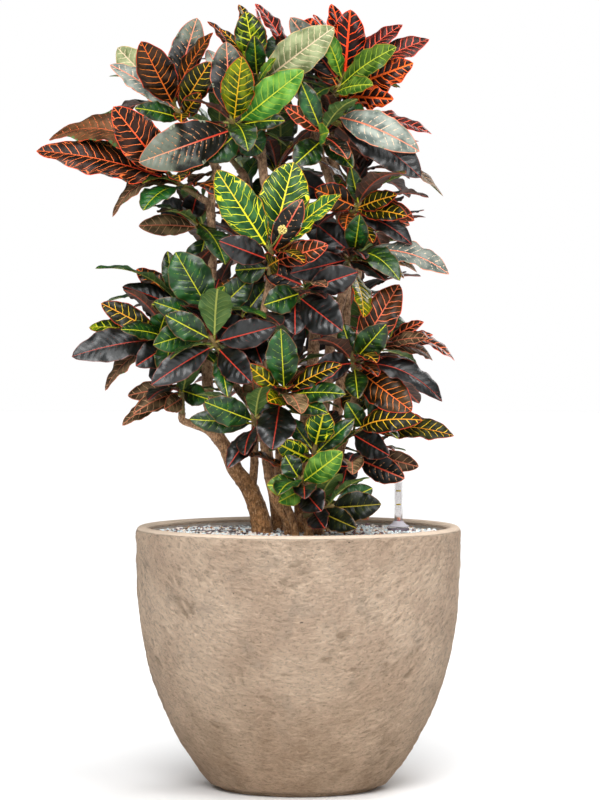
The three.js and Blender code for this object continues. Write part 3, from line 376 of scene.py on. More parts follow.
def build_planter(finish):
    radius, height, kind = planter_profile()
    radius, angle = np.meshgrid(radius, circle(POT_COLUMNS), indexing="ij")
    height = np.broadcast_to(height[:, None], radius.shape)
    kind = np.broadcast_to(kind[:, None], radius.shape)
    relief, flat = chisel_relief(radius, height, angle)
    on_wall = ease(height, 1 * MM, 14 * MM) * (1 - ease(height, 316 * MM, 321 * MM))
    inner = radius < wall_radius(height) - POT_WALL / 2
    depth = np.where(inner, INNER_RELIEF, 1.0) * on_wall
    depth = np.where(height <= POT_FLOOR, depth * (kind < 0.5), depth)
    lip = LIP_UNEVENNESS * noise(np.stack([radius, angle * 6, height], -1) / (30 * MM), 2.0)
    moved = radius + WRINKLE_DEPTH * depth * relief + lip * (kind == 1)
    points = np.stack([moved * np.cos(angle), moved * np.sin(angle), height], axis=-1)
    ends = np.array([[0, 0, 0], [0, 0, POT_FLOOR]])
    marks = {"relief": np.append((relief * depth).ravel(), [0, 0]),
             "inside": np.append((kind / 2).ravel(), [0, 1]),
             "grain": with_ends(flat, ends)}
    return make_piece("planter_wall", with_ends(points, ends), ring_faces(*radius.shape),
                      [finish], marks)


# %% [markdown]
# The cast stone is sand-coloured, with greyer clouds. Towards the ground it is darkened as painted
# shade, and the brown stains there are partly stains and partly painted shade. The relief tints the
# colour: its hollows and low flakes are darkened as painted shade, its high flakes are paled as
# painted highlight, and small pits are dark as painted shade. The inside is made near white as painted
# light. Two bumps give the wrinkles too small for the mesh, and sand grain.


# %% Planter: finish
def planter_finish():
    material, tree = start_finish("cast_stone")
    where = place_on_object(tree)
    height = node(tree, "SeparateXYZ", {"Vector": where}, output=2)
    inside = attribute(tree, "inside")
    flakes = cloud(tree, attribute(tree, "grain", 1), 130, detail=7, rough=0.74)
    patches = cloud(tree, where, 11, detail=5, rough=0.6)
    grey = cloud(tree, place_on_object(tree, turn=(0, 0, 1.0)), 24, detail=5, rough=0.65)
    warm = cloud(tree, where, 16, detail=5, rough=0.65)
    grit = cloud(tree, where, 800, detail=2)
    pits = cloud(tree, where, 150, detail=1)
    base = shades(tree, patches, 0.38, 0.62, (230, 200, 173), (252, 224, 196))
    base = coats(tree, base, (grey, 0.52, 0.72, 0.5, (200, 179, 158)))
    # Painted shade: the wall darkens towards the ground, where it turns in and faces down. The brown
    # stains keep to the same low band, so they are partly stains and partly painted shade.
    low = fade(tree, height, 0.24, 0.0)
    base = mix(tree, maths(tree, "MULTIPLY", low, 0.45), base, colour(176, 138, 100))
    stains_and_low_shade = maths(tree, "MULTIPLY", low, fade(tree, warm, 0.42, 0.66))
    base = mix(tree, maths(tree, "MULTIPLY", stains_and_low_shade, 0.4), base, colour(138, 106, 74))
    base = coats(tree, base,
                 (grit, 0.58, 0.74, 0.3, (104, 88, 70)),
                 # Painted shade: dark specks stand for the shade in small pits that the mesh does not
                 # have.
                 (pits, 0.78, 0.82, 0.8, (70, 58, 46)),
                 # Painted shade and highlight: the hollows of the relief and the low places of the
                 # flakes are darkened, and the high places of the flakes are paled, matching the bump
                 # at the end.
                 (attribute(tree, "relief"), 0.1, -1.0, 0.55, (144, 118, 92)),
                 (flakes, 0.5, 0.38, 0.45, (130, 104, 80)),
                 (flakes, 0.56, 0.68, 0.2, (240, 218, 196)),
                 # Painted light: the inside is made near white to lift the shade that the rim and the
                 # leaves cast in it.
                 (inside, 0.6, 0.9, 0.85, (255, 244, 232)))
    # The rim is smooth, and its paler colour is partly its own and partly painted light on its lit
    # top.
    rim = maths(tree, "MULTIPLY", fade(tree, height, 0.318, 0.3215), fade(tree, inside, 0.9, 0.6))
    base = mix(tree, rim, base, shades(tree, warm, 0.3, 0.7, (220, 199, 178), (206, 186, 166)))
    rough_wall = fade(tree, rim, 1, 0, 0.1, 1)
    plates = maths(tree, "MULTIPLY_ADD", flakes, 7.0, fade(tree, flakes, 0.45, 0.55, 0, 0.5))
    coarse = bump(tree, maths(tree, "MULTIPLY", plates, rough_wall), 2.2 * MM)
    fine = bump(tree, grit, 0.5 * MM, 0.8, under=coarse)
    return end_finish(material, base, 0.9, fine, {"Specular IOR Level": 0.25})


planter = build_planter(planter_finish())
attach(planter, "planter")
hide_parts("pot")
print("planter faces:", len(planter.data.polygons))

# %% [markdown]
# ## The granules
# The planter is topped with crushed minerals: white pumice, cream zeolite, dark lava and a few brown
# grains, 4 to 7 mm each. A grain is a ball of 20 faces whose corners are pulled in or out by chance,
# so that it looks broken, not round. They lie on a grid whose places are shaken, over the solid bed.

# %% Granules: one broken grain
GOLDEN = (1 + 5**0.5) / 2
GRAIN_CORNERS = unit(np.array([
    [-1, GOLDEN, 0], [1, GOLDEN, 0], [-1, -GOLDEN, 0], [1, -GOLDEN, 0],
    [0, -1, GOLDEN], [0, 1, GOLDEN], [0, -1, -GOLDEN], [0, 1, -GOLDEN],
    [GOLDEN, 0, -1], [GOLDEN, 0, 1], [-GOLDEN, 0, -1], [-GOLDEN, 0, 1],
]))
GRAIN_FACES = np.array([
    [0, 11, 5], [0, 5, 1], [0, 1, 7], [0, 7, 10], [0, 10, 11], [1, 5, 9], [5, 11, 4], [11, 10, 2],
    [10, 7, 6], [7, 1, 8], [3, 9, 4], [3, 4, 2], [3, 2, 6], [3, 6, 8], [3, 8, 9], [4, 9, 5],
    [2, 4, 11], [6, 2, 10], [8, 6, 7], [9, 8, 1],
])

# %% Granules: where they lie
GRAIN_SPACING = 4.3 * MM
GRAIN_BED = 312.6 * MM
GRAIN_REACH = POT_RADIUS - POT_WALL - 2.5 * MM
GAUGE_X = 125 * MM
GAUGE_Y = 50 * MM
GAUGE_CLEAR = 14.5 * MM
GRAIN_CORNER_COUNT = len(GRAIN_CORNERS)
HEAP_HEIGHT = 1.6 * MM
HEAP_SIZE = 38 * MM
GRAIN_DEPTH = 4.2 * MM  # how far apart in height neighbours can lie
GRAIN_SMALLEST = 1.8  # millimetres from middle to corner
GRAIN_GROWTH = 1.1

steps = np.arange(-GRAIN_REACH, GRAIN_REACH, GRAIN_SPACING)
grid_x, grid_y = (axis.ravel() for axis in np.meshgrid(steps, steps))
grain_count = np.arange(len(grid_x))
grid_x = grid_x + GRAIN_SPACING * (chance(grain_count + 0.3) - 0.5)
grid_y = grid_y + GRAIN_SPACING * (chance(grain_count + 0.7) - 0.5)
kept = np.hypot(grid_x, grid_y) < GRAIN_REACH
kept &= np.hypot(grid_x - GAUGE_X, grid_y - GAUGE_Y) > GAUGE_CLEAR
grid_x, grid_y, grain_count = grid_x[kept], grid_y[kept], grain_count[kept]
heap = HEAP_HEIGHT * noise(np.stack([grid_x, grid_y, grid_x * 0], -1) / HEAP_SIZE, 4.4)
grain_places = np.stack([
    grid_x,
    grid_y,
    GRAIN_BED + heap + GRAIN_DEPTH * (chance(grain_count + 0.1) - 0.45),
], axis=-1)
print("granules:", len(grain_places))


# %% Granules: pieces and finishes
def grain_finish(name, main, other, spots, rough):
    material, tree = start_finish(name)
    where = place_on_object(tree)
    base = mix(tree, attribute(tree, "own"), colour(*main), colour(*other))
    base = coats(tree, base, (cloud(tree, where, 900, detail=3), 0.55, 0.72, 0.6, spots))
    pores = bump(tree, cloud(tree, where, 1400, detail=2), 0.4 * MM, 0.7)
    return end_finish(material, base, rough, pores)


def turned(one, other, angle):
    """Two coordinates of every corner, turned by an angle for each grain."""
    cos, sin = np.cos(angle)[:, None], np.sin(angle)[:, None]
    return cos * one - sin * other, sin * one + cos * other


def build_grains(name, chosen, finish):
    """Grains as one mesh: corners (12, 3) stretched, shaken and turned for each place (n, 3)."""
    count = grain_count[chosen]
    place = grain_places[chosen]
    size = (GRAIN_SMALLEST + GRAIN_GROWTH * chance(count + 0.45) ** 2) * MM
    stretch = 1 + 0.5 * (chance(count[:, None] * 3 + np.arange(3)) - 0.5)
    shake = 0.74 + 0.5 * chance(count[:, None] * 12.7 + np.arange(GRAIN_CORNER_COUNT) * 1.37)
    corners = GRAIN_CORNERS[None] * shake[..., None] * stretch[:, None, :] * size[:, None, None]
    x, y = turned(corners[..., 0], corners[..., 1], 2 * np.pi * chance(count + 0.9))
    y, z = turned(y, corners[..., 2], np.pi * chance(count + 0.6))
    points = np.stack([x, y, z], axis=-1) + place[:, None, :]
    first = GRAIN_CORNER_COUNT * np.arange(len(count))
    faces = (GRAIN_FACES[None] + first[:, None, None]).reshape(-1, 3)
    own = np.repeat(chance(count + 0.15), GRAIN_CORNER_COUNT)
    piece = make_piece(name, points.reshape(-1, 3), [faces], [finish], {"own": own}, sharp=12)
    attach(piece, "planter")


GRAIN_SORTS = {
    "granules_pumice": (0.00, 0.40, (248, 254, 255), (222, 242, 248), (200, 214, 220), 0.8),
    "granules_zeolite": (0.40, 0.72, (252, 244, 236), (238, 222, 208), (212, 190, 168), 0.85),
    "granules_lava": (0.72, 0.94, (142, 114, 120), (98, 78, 84), (62, 50, 56), 0.9),
    "granules_brown": (0.94, 1.00, (186, 136, 98), (206, 168, 110), (140, 100, 70), 0.85),
}
draw_of_sort = chance(grain_count * 1.618 + 0.5)
for sort_name, (lowest, highest, main, other, spots, rough) in GRAIN_SORTS.items():
    chosen = (draw_of_sort >= lowest) & (draw_of_sort < highest)
    build_grains(sort_name, chosen, grain_finish(sort_name, main, other, spots, rough))
    print(sort_name, int(chosen.sum()))


# %% [markdown]
# ## What the planter holds
# The granule bed, the filling below it, the soil that the stems are rooted in and the gauge's sleeve
# stay as packed. The bed shows in the chinks between the grains, so it gets their mixture of colours
# as small cells, with the cells' edges darkened as painted shade between the grains. The others are
# hidden, and still get the look of what they are.


# %% Filling: finishes for the imported solids
BED_CELLS = 190.0  # cells for each metre


def mixed_granule_finish():
    material, tree = start_finish("granule_mixture")
    cells = {"Vector": place_on_object(tree), "Scale": BED_CELLS}
    pick = node(tree, "SeparateColor", {"Color": node(tree, "TexVoronoi", cells, output=1)})
    edge = node(tree, "TexVoronoi", cells, feature="DISTANCE_TO_EDGE")
    base = shades(tree, pick, 0.45, 0.55, (84, 66, 64), (206, 196, 182))
    # Painted shade: the cells' edges are darkened as the shade in the chinks between the grains.
    base = coats(tree, base,
                 (pick, 0.7, 0.75, 1, (206, 218, 220)),
                 (edge, 0.12, 0.0, 0.8, (60, 50, 46)))
    return end_finish(material, base, 0.9, bump(tree, fade(tree, edge, 0, 0.3), 1.5 * MM))


def soil_finish():
    material, tree = start_finish("rooted_soil")
    crumbs = cloud(tree, place_on_object(tree), 160, detail=5, rough=0.7)
    roots = cloud(tree, place_on_object(tree, stretch=(1, 1, 0.15)), 90, detail=2, distortion=2)
    ridge = maths(tree, "ABSOLUTE", maths(tree, "SUBTRACT", roots, 0.5))
    base = shades(tree, crumbs, 0.35, 0.7, (44, 32, 24), (92, 70, 52))
    base = coats(tree, base, (ridge, 0.02, 0.0, 0.7, (176, 148, 112)))
    return end_finish(material, base, 0.95, bump(tree, crumbs, 3 * MM))


def moulded_finish(name, main, other, rough):
    """Moulded plastic: slight clouds in the colour and the fine pitting of the mould."""
    material, tree = start_finish(name)
    where = place_on_object(tree)
    base = shades(tree, cloud(tree, where, 60, detail=3), 0.3, 0.7, main, other)
    return end_finish(material, base, rough,
                      bump(tree, cloud(tree, where, 2200, detail=1), 0.05 * MM, 0.4))


def finish_packed(name, finish):
    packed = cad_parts[name]
    packed.data.materials.clear()
    packed.data.materials.append(finish)


granule_mixture = mixed_granule_finish()
dark_plastic = moulded_finish("gauge_dark_plastic", (96, 84, 94), (122, 110, 122), 0.42)
finish_packed("granulate_top", granule_mixture)
finish_packed("granulate_fill", granule_mixture)
finish_packed("root_ball", soil_finish())
finish_packed("gauge_sleeve", dark_plastic)

# %% [markdown]
# ## The water-level gauge
# The gauge is a sleeve in the granules with a dark ring on top. A frosted cone carries the clear view
# tube, in which the red tip of the float's rod shows how high the water stands against two yellow
# marks. All of it is turned work: an outline of radius and height, carried round the gauge's axis.

# %% Gauge: turned pieces
GAUGE_COLUMNS = 48


def turned_piece(name, outline, finish, body, replaced, sharp=35):
    """An outline of (radius, height) in millimetres, closed on itself or ending on the axis."""
    outline = np.array(outline, float) * MM
    on_axis = outline[0, 0] == 0
    rows = outline[1:-1] if on_axis else outline
    angle = circle(GAUGE_COLUMNS)
    x = GAUGE_X + rows[:, :1] * np.cos(angle)
    y = GAUGE_Y + rows[:, :1] * np.sin(angle)
    z = np.broadcast_to(rows[:, 1:], x.shape)
    points = np.stack([x, y, z], axis=-1)
    if on_axis:
        points = with_ends(points, [[GAUGE_X, GAUGE_Y, outline[end, 1]] for end in (0, -1)])
        faces = ring_faces(len(rows), GAUGE_COLUMNS)
    else:
        # A closed outline ends where it starts, so the last row is the first one again.
        points = points[:-1].reshape(-1, 3)
        faces = [block % len(points)
                 for block in ring_faces(len(rows), GAUGE_COLUMNS, poles=False)]
    piece = make_piece(name, points, faces, [finish], sharp=sharp)
    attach(piece, body)
    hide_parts(replaced)


def rounded_corner(radius, height, size, start, end):
    """Three points round a corner, from the angle start to the angle end in degrees."""
    across, up = arc(radius, height, size, start, end, 3)
    return list(zip(across.tolist(), up.tolist(), strict=True))


# %% Gauge: finishes
def clear_finish(name, tint, rough, through):
    """Clear or frosted plastic: a glassy shader with a trace of streaks from the moulding."""
    material, tree = start_finish(name)
    streaks = cloud(tree, place_on_object(tree, stretch=(1, 1, 0.1)), 900, detail=2)
    darker = [channel - 18 for channel in tint]
    base = coats(tree, colour(*tint), (streaks, 0.3, 0.7, 0.3, darker))
    return end_finish(material, base, rough, others={"Transmission Weight": through, "IOR": 1.05})


def float_finish():
    """White float and rod, with a red tip above the height where the tube starts."""
    material, tree = start_finish("float_white_and_red")
    where = place_on_object(tree)
    height = node(tree, "SeparateXYZ", {"Vector": where}, output=2)
    clouds = cloud(tree, where, 120, detail=2)
    white = mix(tree, clouds, colour(226, 224, 218), colour(210, 208, 202))
    red = shades(tree, height, 0.3275, 0.3295, (176, 8, 8), (238, 118, 10))
    base = mix(tree, fade(tree, height, 0.3225, 0.323), white, red)
    return end_finish(material, base, 0.4, bump(tree, clouds, 0.05 * MM, 0.3))


turned_piece("gauge_ring", [
    (11, 311), (13, 311), (13.5, 311.6), (13.5, 316), *rounded_corner(12.3, 316.8, 1.2, 0, 90),
    (11.4, 318), (11, 317.6), (11, 311),
], dark_plastic, "planter", "gauge_base_ring")
turned_piece("gauge_cone", [
    (5.3, 319.8), (13, 319.8), (13.5, 320.2), (13.3, 320.8), (11.6, 321.5), (9.6, 322.6),
    (8.0, 323.9), (7.0, 325.2), (6.5, 326.3), (6.2, 326.8), (5.3, 326.8), (5.3, 319.8),
], clear_finish("frosted_lilac_plastic", (232, 228, 236), 0.3, 0.35), "planter", "gauge_collar",
    sharp=50)
turned_piece("gauge_tube", [
    (0, 374.4), (3.0, 374.4), (3.6, 373.8), (3.6, 318.3), (12.5, 318.3), (12.5, 319.5),
    (5.6, 319.5), (5, 320.1), (5, 374.6), *rounded_corner(3.8, 374.8, 1.2, 0, 90), (0, 376),
], clear_finish("clear_tube_plastic", (238, 236, 236), 0.1, 0.9), "planter", "gauge_view_tube",
    sharp=50)
turned_piece("gauge_indicator", [
    (0, 98.3), (7, 98.3), *rounded_corner(7.6, 99.7, 1.4, -90, 0), (9, 135.3),
    *rounded_corner(6.5, 136.0, 2.4, 0, 80), (1.9, 138.6), (1.6, 139.2), (1.6, 325), (2.2, 326),
    (2.2, 330.2), (1.4, 330.8), (0, 331),
], float_finish(), "float", "gauge_float")


# %% Gauge: marks on the tube
MARK_HEIGHTS = [347.5, 364.5]
MARK_SPAN = 0.62  # radians either side of the front
MARK_INNER = 4.95
MARK_OUTER = 5.12
MARK_HALF_HEIGHT = 0.9
MARK_COLUMNS = 9


def build_marks():
    """Two bars printed on the tube: a curved strip with a cross-section of four corners."""
    angle = np.linspace(-MARK_SPAN, MARK_SPAN, MARK_COLUMNS)[:, None] - math.pi / 2
    radius = np.array([MARK_INNER, MARK_OUTER, MARK_OUTER, MARK_INNER])
    rise = MARK_HALF_HEIGHT * np.array([-1, -1, 1, 1])
    parts = []
    for height in MARK_HEIGHTS:
        x, y = radius * np.cos(angle), radius * np.sin(angle)
        z = np.broadcast_to(height + rise, x.shape)
        bar = np.stack([x, y, z], axis=-1) * MM + [GAUGE_X, GAUGE_Y, 0]
        faces = [block[:, ::-1] for block in ring_faces(MARK_COLUMNS, len(radius))]
        parts.append((with_ends(bar, bar[[0, -1]].mean(axis=1)), faces, {}))
    points, faces, _ = join_parts(parts)
    finish = moulded_finish("yellow_print", (206, 178, 44), (188, 160, 36), 0.5)
    piece = make_piece("gauge_marks", points, faces, [finish], sharp=40)
    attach(piece, "planter")


build_marks()

# %% [markdown]
# ## The plant's layout
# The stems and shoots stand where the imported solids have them, so the layout is given here again, in
# millimetres. A limb is its radius at the start and at the end and the points of its middle line. The
# last points of a limb that carries a shoot follow from that shoot. A shoot is the middle of its
# leaves, the way that its young stem leans, and its leaves: how far each tip is to the right, away
# and up, the width seen from the front, the look, and the bow of the midrib where it differs. The
# number after "more" is how many leaves a rule adds on the far side.

# %% Layout: stems
ROOT_DEPTH = 226
STEMS = {
    "stem_left_trunk": [
        [15, 8.2, [[-42, 6, ROOT_DEPTH], [-44, 5, 300], [-47, 4, 330], [-53, 2, 352], [-63, 0, 374],
            [-78, -4, 394], [-88, -8, 417], [-99, -12, 434]]],
        [7.4, 4.8, [[-96, -11, 428], [-107, -12, 460], [-111, -12, 487], [-112, -14, 543],
            [-106, -10, 654], [-107, -6, 728], [-99, -8, 768]]],
        [6.4, 4.2, [[-95, -11, 428], [-113, -14, 444], [-130, -15, 450]], "shoot_lower_left"],
        [5, 4, [[-100, -8, 762], [-112, -9, 786]], "shoot_crown_left"],
        [5, 4, [[-107, -7, 705], [-112, -18, 722]], "shoot_red_left"],
        [5, 4, [[-106, -9, 664]], "shoot_under_red_left"],
        [5, 4, [[-112, -14, 532], [-109, -24, 548]], "shoot_green_left"],
        [5, 4, [[-112, -14, 548]], "shoot_waist_left"],
        [5.4, 4, [[-112, -13, 515], [-122, -18, 530]], "shoot_far_left"],
        [5.4, 4.4, [[-58, 1, 366], [-55, -5, 392], [-54, -13, 421], [-52, -26, 475],
            [-47, -38, 550], [-45, -48, 575]], "shoot_yellow_front"],
        [4.8, 4, [[-47, -38, 546], [-32, -52, 570]], "shoot_waist_front"],
        [4.8, 4, [[-48, -36, 536]], "shoot_waist_inner"],
    ],
    "stem_front": [
        [6.6, 4.4, [[-8, -34, ROOT_DEPTH], [-10, -34, 300], [-14, -36, 332], [-28, -40, 356],
            [-38, -46, 396], [-43, -50, 432], [-55, -54, 469], [-76, -58, 498]], "shoot_mid_left"],
        [4.8, 4, [[-44, -50, 432]], "shoot_lower_front_left"],
    ],
    "stem_front_thin": [
        [5.4, 4, [[-1, -55, ROOT_DEPTH], [-2, -55, 300], [-7, -56, 334], [-15, -58, 354],
            [-24, -61, 384], [-24, -62, 412], [-24, -64, 440]], "shoot_mid_front"],
    ],
    "stem_middle": [
        [9, 5.2, [[5, 22, ROOT_DEPTH], [3, 22, 300], [3, 22, 335], [6, 24, 420], [18, 24, 528],
            [19, 20, 580], [5, 14, 650], [-25, 6, 705], [-41, 2, 747], [-46, 0, 790],
            [-50, 1, 815]], "shoot_crown_top"],
        [4.8, 4, [[-45, 0, 778], [-54, -6, 792]], "shoot_crown_middle"],
        [4.8, 4, [[-48, 0, 800], [-40, 10, 830]], "shoot_crown_back_middle"],
    ],
    "stem_right": [
        [7.5, 5, [[18, -8, ROOT_DEPTH], [16, -8, 300], [15, -8, 335], [24, -8, 400], [34, -10, 486],
            [41, -14, 556], [58, -20, 633], [54, -20, 690], [35, -16, 760], [18, -14, 800]]],
        [4.6, 4, [[19, -14, 797], [22, -9, 818]], "shoot_crown_right"],
        [4.6, 3.8, [[22, -15, 791]], "shoot_silver_right"],
        [4.6, 3.8, [[26, -15, 780]], "shoot_under_crown_right"],
        [5, 4, [[54, -20, 690]], "shoot_upper_right"],
        [5, 4, [[58, -20, 630]], "shoot_waist_right"],
    ],
    "stem_far_right": [
        [7, 4.8, [[24, -38, ROOT_DEPTH], [24, -38, 300], [24, -38, 335], [41, -42, 386],
            [54, -44, 429], [67, -44, 474], [75, -42, 502]], "shoot_mid_far_right"],
        [4.8, 4, [[73, -43, 494]], "shoot_mid_right"],
        [4.8, 4, [[55, -44, 430]], "shoot_lower_right"],
        [4.6, 3.8, [[46, -43, 400]], "shoot_lower_far_right"],
        [6.4, 5.4, [[30, -40, 354], [44, -48, 370], [56, -54, 382]]],  # pruned stub
    ],
    "stem_low_front": [
        [6.6, 4.4, [[15, -64, ROOT_DEPTH], [14, -64, 300], [12, -66, 332], [12, -68, 354],
            [13, -71, 376]], "shoot_lower_front"],
        [4.6, 3.8, [[12, -67, 346]], "shoot_low_young"],
        [4.6, 3.8, [[13, -66, 334]], "shoot_low_right"],
    ],
    "stem_back_left": [
        [8, 5, [[-24, 48, ROOT_DEPTH], [-25, 50, 300], [-27, 52, 335], [-40, 64, 420], [-46, 76, 520],
            [-50, 84, 620], [-58, 88, 700]], "shoot_back_high_left"],
        [4.8, 4, [[-56, 87, 690], [-46, 94, 710]], "shoot_back_high_middle"],
        [4.8, 4, [[-50, 84, 610], [-66, 92, 628]], "shoot_back_upper_left"],
        [4.8, 4, [[-49, 82, 590], [-38, 98, 604]], "shoot_back_upper_middle"],
        [4.8, 4, [[-45, 74, 500], [-70, 76, 514]], "shoot_back_waist_left"],
        [4.8, 4, [[-42, 68, 450], [-44, 88, 466]], "shoot_back_low_left"],
    ],
    "stem_back_right": [
        [8, 5, [[30, 40, ROOT_DEPTH], [30, 42, 300], [32, 44, 335], [45, 58, 430], [56, 72, 530],
            [60, 82, 640], [50, 90, 740]], "shoot_back_crown_right"],
        [4.8, 4, [[54, 88, 712], [66, 92, 730]], "shoot_back_high_right"],
        [4.8, 4, [[60, 82, 622], [76, 86, 636]], "shoot_back_upper_right"],
        [4.8, 4, [[58, 76, 560], [60, 96, 572]], "shoot_back_waist_right"],
        [4.8, 4, [[50, 64, 466], [66, 78, 480]], "shoot_back_low_right"],
    ],
}

# %% Layout: shoots
def shoot(at, lean, leaves=(), more=0):
    """The middle of the leaves, the young stem's way at length 1, the leaves as listed, and how many
    more a rule adds."""
    return {"at": np.array(at), "lean": unit(np.array(lean, float)), "leaves": leaves, "more": more}


